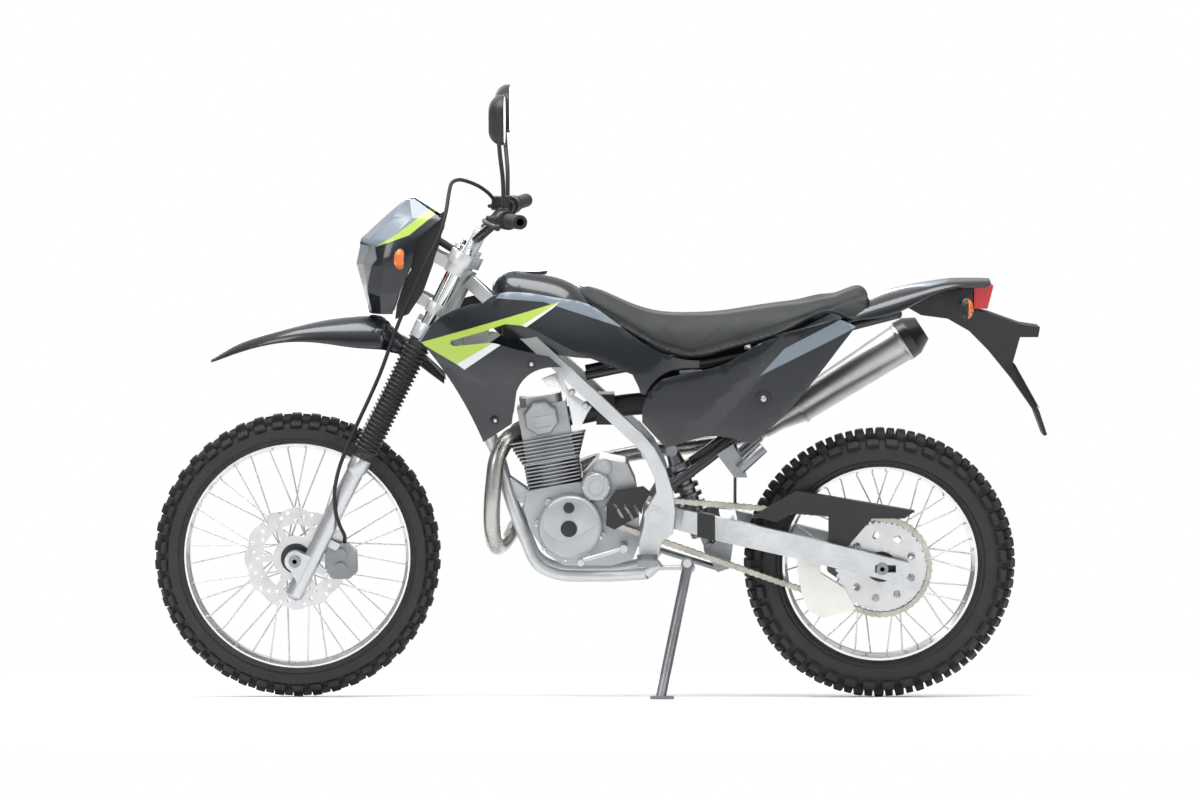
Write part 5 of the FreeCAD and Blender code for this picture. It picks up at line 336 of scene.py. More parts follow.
# polished aluminium: bright, nearly smooth, its extrusion lines faint
rim_alloy = finish("polished_rim_alloy", "#dadcde", "#c8cacc", 0.95, 0.2, 3.0, 0.004)
# drawn stainless wire: bright and plain
spoke_wire = finish("bright_spoke_wire", "#d4d5d6", "#bdbec0", 0.95, 0.24, 2.0, 0.004)
# black paint over a cast hub: satin, slightly pebbled
hub_paint = finish("black_hub_paint", "#17181a", "#212225", 0.1, 0.4, 1.6, 0.05, coat=0.2)
# ground stainless steel: light grey, fine grinding marks
ground_steel = finish("ground_disc_steel", "#c9cacb", "#b2b3b4", 0.9, 0.3, 0.7, 0.012)

for wheel in ("front", "rear"):
    wear(wheel + "_rim", rim_alloy)
    wear(wheel + "_spokes", spoke_wire)
    wear(wheel + "_hub", hub_paint, 0.8)
    wear(wheel + "_disc", ground_steel, 0.3)
wear("rear_sprocket", ground_steel, 0.3)
wear("front_axle", plated_steel, 0.4)

# Chain: a roller chain with a 15.9 mm pitch. Stamped side plates are riveted on pins, inner
# and outer links in turn, over hardened rollers. It is pale, lightly oiled steel.

CHAIN_PITCH = 0.015875
CHAIN_Y = 0.076
DRIVE_TEETH = 14
DRIVEN_TEETH = 45
PLATE_END = 0.0070
PLATE_WAIST = 0.0052
PLATE_WALL = 0.0018
INNER_PLATE_Y = 0.0049
OUTER_PLATE_Y = 0.0071
ROLLER = (0.0050, 0.0048)
PIN = (0.0024, 0.0094)
DRIVE_AXLE = Vector((-0.080, CHAIN_Y, 0.452))
DRIVEN_AXLE = Vector((AXLE_UPRIGHT.x, CHAIN_Y, AXLE_UPRIGHT.z))
DRIVE_RADIUS = CHAIN_PITCH / 2 / math.sin(math.pi / DRIVE_TEETH)
DRIVEN_RADIUS = CHAIN_PITCH / 2 / math.sin(math.pi / DRIVEN_TEETH)


def chain_pins():
    """The pins' places round the loop: over the small sprocket, and back over the large one."""
    way = DRIVE_AXLE - DRIVEN_AXLE
    span = way.length
    way = way.normalized()
    up = Vector((-way.z, 0, way.x))
    slope = math.asin((DRIVEN_RADIUS - DRIVE_RADIUS) / span)
    straight = span * math.cos(slope)
    fore_arc = DRIVE_RADIUS * (math.pi - 2 * slope)
    rear_arc = DRIVEN_RADIUS * (math.pi + 2 * slope)
    loop = straight * 2 + fore_arc + rear_arc
    count = round(loop / CHAIN_PITCH / 2) * 2

    def on_arc(centre, radius, turned):
        return centre + (up * math.cos(turned) + way * math.sin(turned)) * radius

    def at(along):
        if along < straight:
            start = on_arc(DRIVEN_AXLE, DRIVEN_RADIUS, slope)
            return start.lerp(on_arc(DRIVE_AXLE, DRIVE_RADIUS, slope), along / straight)
        along -= straight
        if along < fore_arc:
            return on_arc(DRIVE_AXLE, DRIVE_RADIUS, slope + along / DRIVE_RADIUS)
        along -= fore_arc
        if along < straight:
            start = on_arc(DRIVE_AXLE, DRIVE_RADIUS, math.pi - slope)
            return start.lerp(on_arc(DRIVEN_AXLE, DRIVEN_RADIUS, math.pi - slope), along / straight)
        return on_arc(DRIVEN_AXLE, DRIVEN_RADIUS, math.pi - slope + (along - straight) / DRIVEN_RADIUS)

    return [at(loop * i / count) for i in range(count)]


def placed_copy(mesh, source, matrix):
    """Adds a copy of a small mesh, moved by a matrix."""
    before = len(mesh.verts)
    mesh.from_mesh(source)
    mesh.verts.ensure_lookup_table()
    bmesh.ops.transform(mesh, matrix=matrix, verts=mesh.verts[before:])


def extruded(mesh, corners, thick):
    """A flat outline across the machine, thickened towards its left. Returns the corners moved."""
    face = mesh.faces.new([mesh.verts.new(corner) for corner in corners])
    wall = bmesh.ops.extrude_face_region(mesh, geom=[face])["geom"]
    moved = [v for v in wall if isinstance(v, bmesh.types.BMVert)]
    bmesh.ops.translate(mesh, verts=moved, vec=(0, thick, 0))
    return moved


def chain_plate():
    """A waisted plate from pin to pin, drawn along X."""
    plate = bmesh.new()
    rim = []
    for end, turn in ((CHAIN_PITCH, -0.5), (0.0, 0.5)):
        for step in range(6):
            a = math.pi * (turn + step / 5)
            rim.append((end + PLATE_END * math.cos(a), 0, PLATE_END * math.sin(a)))
        rim.append((CHAIN_PITCH / 2, 0, -2 * PLATE_WAIST * turn))
    extruded(plate, rim, PLATE_WALL)
    bmesh.ops.recalc_face_normals(plate, faces=plate.faces)
    return as_data("chain_plate", plate)


def chain_drum(radius, half):
    """A pin or roller across the chain."""
    drum = bmesh.new()
    bmesh.ops.create_cone(drum, cap_ends=True, segments=12, radius1=radius, radius2=radius, depth=half * 2,
                          matrix=Matrix.Rotation(math.pi / 2, 4, "X"))
    return as_data("chain_drum", drum)


plate, roller, pin = chain_plate(), chain_drum(*ROLLER), chain_drum(*PIN)
pins = chain_pins()
links = bmesh.new()
for index, here in enumerate(pins):
    ahead = pins[(index + 1) % len(pins)] - here
    along = Matrix.Translation(here) @ Matrix.Rotation(math.atan2(-ahead.z, ahead.x), 4, "Y")
    inner = INNER_PLATE_Y if index % 2 else OUTER_PLATE_Y
    for y in (inner, -inner - PLATE_WALL):
        placed_copy(links, plate, along @ Matrix.Translation((0, y, 0)))
    placed_copy(links, roller, along)
    placed_copy(links, pin, along)
lean_over(links)
# oiled hardened steel: pale, slightly warm, with thin dark oil in the grain
link_steel = finish("oiled_chain_steel", "#b9b6ad", "#8d8a82", 0.9, 0.33, 2.2, 0.02)
roller_chain = new_piece("roller_chain", links, "main", link_steel)
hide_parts("chain")

# Fork: cast sliders on hard-chromed tubes, shielded by black rubber bellows with moulded
# ridges, clipped at both ends, and held by two forged clamps on the steering stem.

STEER_UP = (LEAN.inverted().to_3x3() @ Vector(joint("steering_turn")["axis"])).normalized()
STEER_FORE = Vector((STEER_UP.z, 0, -STEER_UP.x))
STEER_OFFSET = 0.056
STEER_FOOT = FRONT_AXLE - STEER_FORE * STEER_OFFSET
LEG_FORE = 0.022
LEG_SIDE = 0.098
BELLOWS_LOW = 0.2875
BELLOWS_HIGH = 0.601
BELLOWS_RIDGES = 26
BELLOWS_CUFF = 0.018
BELLOWS_STEPS = 40
# the lower cuff, from its end up, the upper cuff, from its end down, and one ridge by its pitch
LOW_CUFF = [(0.0, 0.0185), (0.0, 0.0248), (0.006, 0.0252), (0.008, 0.0238), (0.012, 0.0238), (0.014, 0.0252),
            (BELLOWS_CUFF, 0.0246)]
HIGH_CUFF = [(BELLOWS_CUFF, 0.0246), (0.014, 0.0252), (0.006, 0.0252), (0.0, 0.0246), (0.0, 0.0185)]
RIDGE_SHARES = [(0.18, 0.0243), (0.36, 0.0292), (0.5, 0.0303), (0.64, 0.0292), (0.82, 0.0243)]


def fork_place(along, fore, side):
    return STEER_FOOT + STEER_UP * along + STEER_FORE * fore + Vector((0, side, 0))


def fork_bellows(side):
    """Ridged sleeve: cuffs with a clip groove at both ends, and round ridges between them."""
    mesh = bmesh.new()
    outline = [(BELLOWS_LOW + rise, out) for rise, out in LOW_CUFF]
    pitch = (BELLOWS_HIGH - BELLOWS_LOW - 2 * BELLOWS_CUFF) / BELLOWS_RIDGES
    for index in range(BELLOWS_RIDGES):
        start = BELLOWS_LOW + BELLOWS_CUFF + index * pitch
        outline += [(start + pitch * share, out) for share, out in RIDGE_SHARES]
    outline += [(BELLOWS_HIGH - drop, out) for drop, out in HIGH_CUFF]
    foot = fork_place(0, LEG_FORE, side)
    corners = [mesh.verts.new(foot + STEER_UP * along + STEER_FORE * out) for along, out in outline]
    edges = [mesh.edges.new(pair) for pair in zip(corners, corners[1:])]
    bmesh.ops.spin(mesh, geom=corners + edges, cent=foot, axis=STEER_UP, angle=math.tau, steps=BELLOWS_STEPS,
                   use_merge=True)
    bmesh.ops.remove_doubles(mesh, verts=mesh.verts, dist=MERGE / 2)
    bmesh.ops.recalc_face_normals(mesh, faces=mesh.faces)
    return mesh


def two_sides(build):
    """One mesh of what a builder makes for the left and for the right side."""
    pair = build(1)
    append(pair, build(-1))
    return pair


# moulded black rubber: dull, with a soft bloom on the ridges
bellows_rubber = finish("bellows_rubber", "#161617", "#222223", 0.0, 0.5, 2.5, 0.03)
# cast aluminium, lacquered: light grey, satin
slider_alloy = finish("lacquered_slider_alloy", "#c3c5c7", "#b0b2b5", 0.85, 0.3, 1.5, 0.02, (1, 1, 0.2),
                      coat=0.3)
# hard chrome: bright, nearly smooth
fork_chrome = finish("hard_fork_chrome", "#d9dbdd", "#cfd1d3", 1.0, 0.12, 4.0, 0.002)

sleeves = two_sides(lambda side: fork_bellows(side * LEG_SIDE))
lean_over(sleeves)
bellows = new_piece("fork_bellows", sleeves, "steering", bellows_rubber, 60)
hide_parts("fork_boots")
wear("fork_lowers", slider_alloy, 0.6)
wear("fork_tubes", fork_chrome)
wear("triple_clamps", silver_paint, 0.8)

# Handlebar: a black steel tube of 22 mm, with ribbed rubber grips, switch housings of black
# plastic, cast levers and a mirror on each side. Gauge and lamp sit ahead of it.

# moulded black plastic: matt, with a spark-eroded texture of about 1 mm
black_plastic = finish("moulded_black_plastic", "#17181a", "#1f2022", 0.0, 0.52, 1.0, 0.05)
# grip rubber: dull black
grip_rubber = finish("grip_rubber", "#151516", "#1e1e1f", 0.0, 0.66, 1.5, 0.08)
# mirror glass: silvered, clean
mirror_glass = finish("mirror_glass", "#d2d7db", "#ccd1d6", 1.0, 0.04, 8.0, 0.0005)

wear("handlebar", black_paint)
wear("grips", grip_rubber)
wear("controls", black_plastic, 0.8)
wear("mirrors", black_plastic)
wear("mirror_glasses", mirror_glass)
wear("gauge", black_plastic, 0.8)

# Brakes: cast calipers that clamp the discs, the front one fed by a rubber hose that runs
# from the right lever round the lamp and down the left leg.

wear("brake_hose", grip_rubber)
# cast grey aluminium of the calipers: matt
caliper_alloy = finish("cast_caliper_alloy", "#8b8d90", "#74777a", 0.7, 0.42, 1.4, 0.06)
wear("front_caliper", caliper_alloy, 0.6)
wear("rear_caliper", caliper_alloy, 0.6)

# Body panels: injection moulded plastic, painted a very dark blue-black with a fine metallic
# flake under clear lacquer. A lime stripe with a white edge is a film laid on the panels, with
# crisp edges; the lilac-grey bands where the panels turn upwards are painted highlight, also crisp-edged.


FLAKE_MM = 0.9
RIPPLE_MM = 3.0
PANEL_METAL = 0.35
LIME = "#9cb545"
WHITE = "#c9cccd"
# painted highlight: a lilac-grey tone laid where the panels face upwards, in place of the light they catch
LILAC_PAINTED_HIGHLIGHT = "#68737f"


def inside(tree, upright, corners, soft_mm=0.35):
    """How far a point is inside a convex outline of (x, z) in mm, as a mask from 0 to 1."""
    lowest = None
    middle = Vector((sum(c[0] for c in corners), sum(c[1] for c in corners))) / len(corners)
    for a, b in zip(corners, corners[1:] + corners[:1]):
        start, way = Vector(a), (Vector(b) - Vector(a)).normalized()
        out = Vector((way.y, -way.x))
        if out.dot(middle - start) < 0:
            out = -out
        far = add(tree, "ShaderNodeVectorMath", {0: upright, 1: (out.x * 1000, 0, out.y * 1000)},
                  operation="DOT_PRODUCT")
        depth = add(tree, "ShaderNodeMath", {0: far.outputs["Value"], 1: out.dot(start)},
                    operation="SUBTRACT")
        if lowest is None:
            lowest = depth.outputs[0]
        else:
            lowest = add(tree, "ShaderNodeMath", {0: lowest, 1: depth.outputs[0]},
                         operation="MINIMUM").outputs[0]
    edge = add(tree, "ShaderNodeMapRange", {0: lowest, 1: -soft_mm, 2: soft_mm})
    return edge.outputs[0]


def panel_paint(name, bands):
    """The panels' lacquer with films and painted highlight bands over it: a list of (colour, outline), the last
    on top.
    """
    material, tree, upright = blank(name)
    flake = add(tree, "ShaderNodeTexVoronoi", {"Vector": upright, "Scale": 1000 / FLAKE_MM})
    glint = add(tree, "ShaderNodeMapRange", {0: flake.outputs["Color"], 1: 0.2, 2: 0.9})
    base = add(tree, "ShaderNodeMix", {0: glint.outputs[0], 6: linear("#070c12"), 7: linear("#121a23")},
               data_type="RGBA")
    colour = base.outputs[2]
    # the mask gathers the real films and the painted highlight bands, and takes the metal out of both
    film_and_highlight = None
    for hex_colour, outline in bands:
        mask = inside(tree, upright, outline)
        laid = add(tree, "ShaderNodeMix", {0: mask, 6: colour, 7: linear(hex_colour)}, data_type="RGBA")
        colour = laid.outputs[2]
        film_and_highlight = mask if film_and_highlight is None else add(tree, "ShaderNodeMath", {0: film_and_highlight, 1: mask},
                                             operation="MAXIMUM").outputs[0]
    metal = PANEL_METAL
    if film_and_highlight is not None:
        metal = add(tree, "ShaderNodeMapRange", {0: film_and_highlight, 3: PANEL_METAL, 4: 0.0}).outputs[0]
    ripple = add(tree, "ShaderNodeTexNoise", {"Vector": upright, "Scale": 1000 / RIPPLE_MM, "Detail": 3.0})
    relief = add(tree, "ShaderNodeBump", {"Height": ripple.outputs[0], "Distance": 0.00002, "Strength": 1.0})
    shader = add(tree, "ShaderNodeBsdfPrincipled", {"Base Color": colour, "Metallic": metal, "Roughness": 0.34,
                                                    "Normal": relief.outputs[0], "Coat Weight": 0.8,
                                                    "Coat Roughness": 0.1})
    add(tree, "ShaderNodeOutputMaterial", {"Surface": shader.outputs[0]})
    return material


plain_paint = panel_paint("panel_lacquer", [])
# the lilac-grey bands along the shroud's top and front are painted highlight; the white edge and lime stripe
# are real graphics
shroud_paint = panel_paint("shroud_lacquer", [
    (LILAC_PAINTED_HIGHLIGHT, [(217, 960), (201, 975), (120, 969), (104, 950)]),
    (LILAC_PAINTED_HIGHLIGHT, [(120, 969), (-9, 942), (14, 920), (104, 950)]),
    (LILAC_PAINTED_HIGHLIGHT, [(-9, 942), (-91, 885), (14, 920)]),
    (LILAC_PAINTED_HIGHLIGHT, [(408, 860), (369, 909), (364, 903), (393, 857)]),
    (WHITE, [(67, 950), (307, 808), (289, 795), (81, 937)]),
    (LIME, [(393, 858), (67, 950), (307, 808)]),
])
# the lilac-grey band along the side cover's top edge is painted highlight
cover_paint = panel_paint("side_cover_lacquer", [
    (LILAC_PAINTED_HIGHLIGHT, [(-398, 775), (-459, 842), (-593, 911), (-633, 894), (-547, 851)]),
])
# the lilac-grey face of the cowl is painted highlight; the lime pieces are the real stripe
cowl_paint = panel_paint("cowl_lacquer", [
    (LILAC_PAINTED_HIGHLIGHT, [(431, 1200), (371, 1164), (447, 1108), (499, 1076), (560, 1092), (560, 1200)]),
    (LIME, [(371, 1164), (356, 1155), (419, 1104), (447, 1108)]),
    (LIME, [(447, 1108), (419, 1104), (499, 1076)]),
])
# the lilac-grey band along the tail's top is painted highlight
tail_paint = panel_paint("tail_lacquer", [
    (LILAC_PAINTED_HIGHLIGHT, [(-660, 975), (-799, 995), (-940, 1003), (-945, 994), (-799, 982), (-690, 955)]),
])

# half the width of a cut that passes right through the machine, in mm
CUT_HALF = 1000.0
# the slot between the shroud's upper beam and its lower wing, open towards the rear
SLOT = [(324, 856), (319, 863), (248, 883), (194, 901), (155, 897), (112, 880), (53, 846), (-5, 819),
        (-103, 780), (-118, 749), (-130, 700), (40, 775), (59, 796), (92, 825), (170, 842), (213, 855),
        (232, 858), (314, 850)]
# where the wing stands out over the panel below it, and where the side cover turns in
WING_EDGE = [(58, 800), (150, 774), (244, 765.5), (392, 855)]
COVER_CREASE = [(-405, 825), (-207, 624)]


def upright_outline(outline, y):
    """Corners in metres from an outline of (x, z) in mm at a station y in mm."""
    return [(x / 1000, y / 1000, z / 1000) for x, z in outline]


def settled(piece):
    """The mesh that an object's modifiers leave."""
    return bpy.data.meshes.new_from_object(piece.evaluated_get(bpy.context.evaluated_depsgraph_get()))


def cut_through(mesh, outline):
    """A mesh with a slot cut through it from side to side, to an outline of (x, z) in mm."""
    prism = bmesh.new()
    extruded(prism, upright_outline(outline, -CUT_HALF), 2 * CUT_HALF / 1000)
    bmesh.ops.recalc_face_normals(prism, faces=prism.faces)
    panel, cutter = as_object("panel", mesh), as_object("prism", prism)
    cut = panel.modifiers.new("Slot", "BOOLEAN")
    cut.operation, cut.solver, cut.object = "DIFFERENCE", "EXACT", cutter
    left = bmesh.new()
    left.from_mesh(settled(panel))
    for each in (panel, cutter):
        bpy.data.objects.remove(each)
    return left


def set_in(mesh, line, depth, width, fore, aft, fade=1.0):
    """Sets a skin in below a bent line of (x, z) in mm, drawn from the rear, by a rounded step."""
    for a, b in zip(line, line[1:]):
        way = Vector((b[0] - a[0], b[1] - a[1])).normalized()
        out = Vector((way.y, -way.x))
        for share in (0.0, 0.35, 0.7, 1.0):
            spot = Vector(a) + out * width * share
            bmesh.ops.bisect_plane(mesh, geom=whole(mesh), dist=CUT_REACH,
                                   plane_co=(spot.x / 1000, 0, spot.y / 1000), plane_no=(out.x, 0, out.y))
    for corner in mesh.verts:
        x, z = corner.co.x * 1000, corner.co.z * 1000
        if not aft <= x <= fore:
            continue
        a, b = next(((a, b) for a, b in zip(line, line[1:]) if x <= b[0]), line[-2:])
        slope = (b[1] - a[1]) / (b[0] - a[0])
        past = (a[1] + slope * (x - a[0]) - z) / math.hypot(1, slope)
        share = min(max(past / width, 0.0), 1.0)
        step = depth / 1000 * share * share * (3 - 2 * share) * min((x - aft) / fade, 1.0)
        corner.co.y -= math.copysign(step, corner.co.y)


panels = cut_through(upright_copy("shrouds"), SLOT)
set_in(panels, WING_EDGE, depth=9.0, width=14.0, fore=420, aft=45)
lean_over(panels)
shroud_panels = new_piece("shroud_panels", panels, "main", shroud_paint, 40)
round_edges(shroud_panels, 0.8)
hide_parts("shrouds")
covers = upright_copy("side_covers")
# the cover's rear half is turned in past a soft crease, and comes out again towards the tail
set_in(covers, COVER_CREASE, depth=8.0, width=40.0, fore=-150, aft=-560, fade=150.0)
lean_over(covers)
side_cover_panels = new_piece("side_cover_panels", covers, "main", cover_paint, 60)
even = side_cover_panels.modifiers.new("Even shading", "WEIGHTED_NORMAL")
even.keep_sharp = True
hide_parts("side_covers")

# Mouldings that keep their CAD form: the cowl, mudguards and tank in the panels' paint, and
# the guards round the chain and the plate's bracket in bare plastic.

wear("headlight_cowl", cowl_paint, 0.8)
wear("front_fender", plain_paint, 0.6)
wear("tail_fender", tail_paint, 0.8)
wear("fuel_tank", plain_paint)
wear("plate_bracket", black_plastic, 0.8)
wear("chain_guard", black_plastic, 0.6)
wear("sprocket_cover", black_plastic, 0.8)
# off-white nylon of the chain guide: waxy
nylon = finish("white_nylon", "#dfdfda", "#d2d2cc", 0.0, 0.45, 3.0, 0.02)
wear("chain_guide", nylon, 0.6)

# Panel screws: bright button heads with a hexagon socket, each in a dark rubber grommet. Two
# hold each shroud and one, in a wide grommet, each side cover.


# each screw's node, its place from the side in mm, and the radius of its head and of its grommet
PANEL_SCREWS = [("shrouds", 133, 807, 5.2, 10.5), ("shrouds", 218, 674, 4.6, 9.5),
                ("side_covers", -409, 725, 8.0, 18.0)]
# a button head from the floor of its socket to its rim, as shares of its radius
HEAD_SHARES = [(0, 0.2), (0.42, 0.2), (0.46, 0.58), (0.74, 0.52), (0.94, 0.3), (1, 0.0)]
FOOT_SINK = 1.0
SKINS = {}


def skin(node, x, z, side=1, inner=False):
    """The place, and its way out, on a node's outer or inner face at (x, z) in mm, seen from one side."""
    if node not in SKINS:
        mesh = upright_copy(node)
        SKINS[node] = BVHTree.FromBMesh(mesh)
        mesh.free()
    start = Vector((x / 1000, 0 if inner else side, z / 1000))
    place, out = SKINS[node].ray_cast(start, Vector((0, side if inner else -side, 0)))[:2]
    if place is None:
        raise ValueError(f"{node} has no face at {x}, {z}")
    return place, out * (1 if out.y * side > 0 else -1)


def turned(mesh, place, out, outline, steps=24):
    """Spins an outline of (radius, height) in mm about the way out of a place."""
    part = bmesh.new()
    corners = [part.verts.new((radius / 1000, 0, height / 1000)) for radius, height in outline]
    edges = [part.edges.new(pair) for pair in zip(corners, corners[1:])]
    bmesh.ops.spin(part, geom=corners + edges, cent=(0, 0, 0), axis=(0, 0, 1), angle=math.tau, steps=steps,
                   use_merge=True)
    bmesh.ops.remove_doubles(part, verts=part.verts, dist=MERGE / 2)
    turn = Vector((0, 0, 1)).rotation_difference(out).to_matrix().to_4x4()
    bmesh.ops.transform(part, matrix=Matrix.Translation(place) @ turn, verts=part.verts)
    append(mesh, part)


def screw(mesh, place, out, radius):
    """A button head with a socket, its rim sunk a little in what it clamps."""
    head = [(radius * wide, radius * high) for wide, high in HEAD_SHARES]
    turned(mesh, place, out, head + [(radius, -FOOT_SINK)])


heads, grommets = bmesh.new(), bmesh.new()
for node, x, z, radius, rim in PANEL_SCREWS:
    for side in (1, -1):
        place, out = skin(node, x, z, side)
        screw(heads, place, out, radius)
        turned(grommets, place, out, [(radius, -FOOT_SINK), (radius, 0.2), (rim * 0.8, 1.0), (rim * 0.95, 0.7),
                                      (rim, -FOOT_SINK)])
for mesh in (heads, grommets):
    bmesh.ops.recalc_face_normals(mesh, faces=mesh.faces)
    lean_over(mesh)
# bright zinc plating: pale, faintly mottled
bright_zinc = finish("bright_zinc_plating", "#d2d4d5", "#babcbe", 0.95, 0.28, 1.2, 0.01)
new_piece("panel_screws", heads, "main", bright_zinc)
new_piece("panel_grommets", grommets, "main", slider_rubber)

# Lamps: clear, orange and red polycarbonate lenses, moulded with fine prisms inside, in
# black housings. Two black plates beside the headlight carry it and the cowl on the fork.

# the carrier plates from the side, in mm, how thick they are and how far out they stand
CARRIER = [(410, 1107), (341, 1152), (351, 1079), (370, 1022), (390, 966), (422, 917), (454, 905), (450, 941),
           (430, 998), (416, 1022), (420, 1055)]
CARRIER_WALL = 4.0
CARRIER_Y = 57.0
HEADLIGHT_PRISM_MM = 14.0
SMALL_PRISM_MM = 3.0
# the wave texture's count of bands for a scale of 1
BANDS = 6.3
ORANGE = "#e8741c"


def lens(name, base, prism_mm, through):
    """A moulded lens: coloured, glossy, with fine upright prisms behind its face."""
    material, tree, upright = blank(name)
    prisms = add(tree, "ShaderNodeTexWave", {"Vector": upright, "Scale": 1000 / prism_mm / BANDS},
                 bands_direction="X")
    relief = add(tree, "ShaderNodeBump", {"Height": prisms.outputs["Fac"], "Distance": 0.0005,
                                          "Strength": 0.6})
    shader = add(tree, "ShaderNodeBsdfPrincipled", {"Base Color": linear(base), "Roughness": 0.12, "IOR": 1.58,
                                                    "Transmission Weight": through, "Normal": relief.outputs[0],
                                                    "Coat Weight": 0.5, "Coat Roughness": 0.05})
    add(tree, "ShaderNodeOutputMaterial", {"Surface": shader.outputs[0]})
    return material


# clear polycarbonate: nearly all light passes, and the prisms break it up
clear_lens = lens("clear_lens", "#eef2f4", HEADLIGHT_PRISM_MM, 0.85)
# deep red polycarbonate: glossy, only a little light passes
red_lens = lens("red_lens", "#c2161c", SMALL_PRISM_MM, 0.25)


def housed_lens(name, base, edge_mm, way):
    """A lamp moulded in two: an orange lens beyond an upright plane, and a black housing behind it."""
    material = lens(name, base, SMALL_PRISM_MM, 0.25)
    tree = material.node_tree
    upright = next(node for node in tree.nodes if node.type == "MAPPING").outputs[0]
    shader = next(node for node in tree.nodes if node.type == "BSDF_PRINCIPLED")
    place = add(tree, "ShaderNodeSeparateXYZ", {0: upright})
    past = add(tree, "ShaderNodeMath", {0: place.outputs[0], 1: edge_mm / 1000}, operation="GREATER_THAN")
    share = add(tree, "ShaderNodeMath", {0: past.outputs[0], 1: way}, operation="COMPARE")
    share.inputs[2].default_value = 0.1
    pebble = add(tree, "ShaderNodeTexNoise", {"Vector": upright, "Scale": 1000.0, "Detail": 3.0})
    relief = add(tree, "ShaderNodeBump", {"Height": pebble.outputs[0], "Distance": 0.00005, "Strength": 1.0})
    black = add(tree, "ShaderNodeBsdfPrincipled", {"Base Color": linear("#17181a"), "Roughness": 0.5,
                                                   "Normal": relief.outputs[0]})
    both = add(tree, "ShaderNodeMixShader", {0: share.outputs[0], 1: black.outputs[0], 2: shader.outputs[0]})
    output = next(node for node in tree.nodes if node.type == "OUTPUT_MATERIAL")
    tree.links.new(both.outputs[0], output.inputs[0])
    return material


carrier = bmesh.new()
for low_y in (CARRIER_Y, -CARRIER_Y - CARRIER_WALL):
    extruded(carrier, upright_outline(CARRIER, low_y), CARRIER_WALL / 1000)
bmesh.ops.recalc_face_normals(carrier, faces=carrier.faces)
lean_over(carrier)
lamp_carrier = new_piece("lamp_carrier", carrier, "steering", black_plastic)
wear("headlight_lens", clear_lens)
wear("front_indicators", housed_lens("front_indicator", ORANGE, 428, 1))
wear("rear_indicators", housed_lens("rear_indicator", ORANGE, -882, 0))
wear("tail_light", red_lens)

# Engine: air-cooled single, its cases and covers cast in aluminium and painted silver-grey,
# its barrel and head finned and darker. Edges of covers are rounded, bolts are zinc plated.

# painted cast cases: silver-grey, satin, sand-cast grain of about 1.5 mm
case_paint = finish("silver_case_paint", "#b3b5b7", "#9fa2a5", 0.6, 0.4, 1.5, 0.07)
# bare cast fins: a little darker than the cases, with random patches of darker, rougher grain
fin_alloy = finish("cast_fin_alloy", "#b0b2b4", "#929598", 0.75, 0.38, 1.6, 0.08)

wear("crankcase", case_paint, 1.0)
wear("engine_covers", case_paint, 1.0)
wear("cylinder", fin_alloy, 0.3)
wear("cylinder_head", fin_alloy, 0.3)
wear("intake", black_plastic, 0.8)
wear("pedals", beam_alloy, 0.5)
wear("footpegs", plated_steel, 0.5)

# Engine fittings: bolts on the covers' lobes, two black plugs, a shield-shaped land on the
# stator cover, the starter's end, and the head's steel stay with its bolts. They are placed
# from the left, in mm, and each stands on the surface found under it.

CRANK = (46, 415)
CRANK_BOLTS = (5, 48, 196, 236, 276, 320)
CRANK_BOLT_RING = 77.0
STARTER = (-18, 511)
STARTER_BOLT_RING = 30.0
BREATHER = (-33, 556)
# each plug's place and radius
PLUGS = [(46, 415, 19.5), (46, 465, 13.0)]
LAND = [(106, 444), (98, 466), (43, 481), (3, 470), (-18, 449), (-18, 423), (25, 398), (43, 387), (75, 385),
        (106, 413)]
LAND_Y = 107.0
LAND_RISE = 2.6
STAY = [(111, 766), (80, 778), (62, 785), (45, 777), (59, 761), (43, 732), (-8, 700), (3, 683), (21, 646),
        (35, 647), (43, 689), (52, 725), (68, 745), (97, 751)]
STAY_WALL = 5.0
STAY_BOLTS = [(39, 735), (7.5, 703)]
# where the spar's inner face is found, which the stay lies against
STAY_SEAT = (80, 790)
LEFT = Vector((0, 1, 0))


def rounded_plate(mesh, outline, y, thick, edge):
    """A plate across the machine: an outline of (x, z) in mm, its outer edge rounded."""
    moved = extruded(mesh, upright_outline(outline, y), thick / 1000)
    rim = [e for e in {e for v in moved for e in v.link_edges} if all(v in moved for v in e.verts)]
    bmesh.ops.bevel(mesh, geom=rim, offset=edge / 1000, segments=2, profile=0.5, affect="EDGES", material=-1)


def bolt_ring(mesh, centre, ring, angles, radius):
    """Bolt heads on the engine's covers, at angles in degrees round a centre."""
    for angle in angles:
        x = centre[0] + ring * math.cos(math.radians(angle))
        z = centre[1] + ring * math.sin(math.radians(angle))
        screw(mesh, skin("engine_covers", x, z)[0], LEFT, radius)


bolts, plugs, lands, stays = bmesh.new(), bmesh.new(), bmesh.new(), bmesh.new()
bolt_ring(bolts, CRANK, CRANK_BOLT_RING, CRANK_BOLTS, 5.0)
for x, z, radius in PLUGS:
    place = skin("engine_covers", x, z)[0]
    turned(plugs, place, LEFT, [(0, 3.4), (radius - 1.6, 3.4), (radius - 0.4, 2.6), (radius, 1.4),
                                (radius, -FOOT_SINK)], 40)
bolt_ring(bolts, STARTER, STARTER_BOLT_RING, range(0, 360, 60), 3.6)
place = skin("engine_covers", *STARTER)[0]
turned(lands, place, LEFT, [(0, 0.6), (16, 0.6), (16.8, 2.0), (18.6, 2.0), (19.4, 0.0), (19.4, -FOOT_SINK)], 40)
place = skin("crankcase", *BREATHER)[0]
turned(lands, place, LEFT, [(0, 16), (15, 16), (16, 14.4), (19.5, 14.4), (21, 13), (21, -2 * FOOT_SINK)], 40)
rounded_plate(lands, LAND, LAND_Y, LAND_RISE, edge=1.2)
inner_y = skin("frame", *STAY_SEAT, inner=True)[0].y * 1000
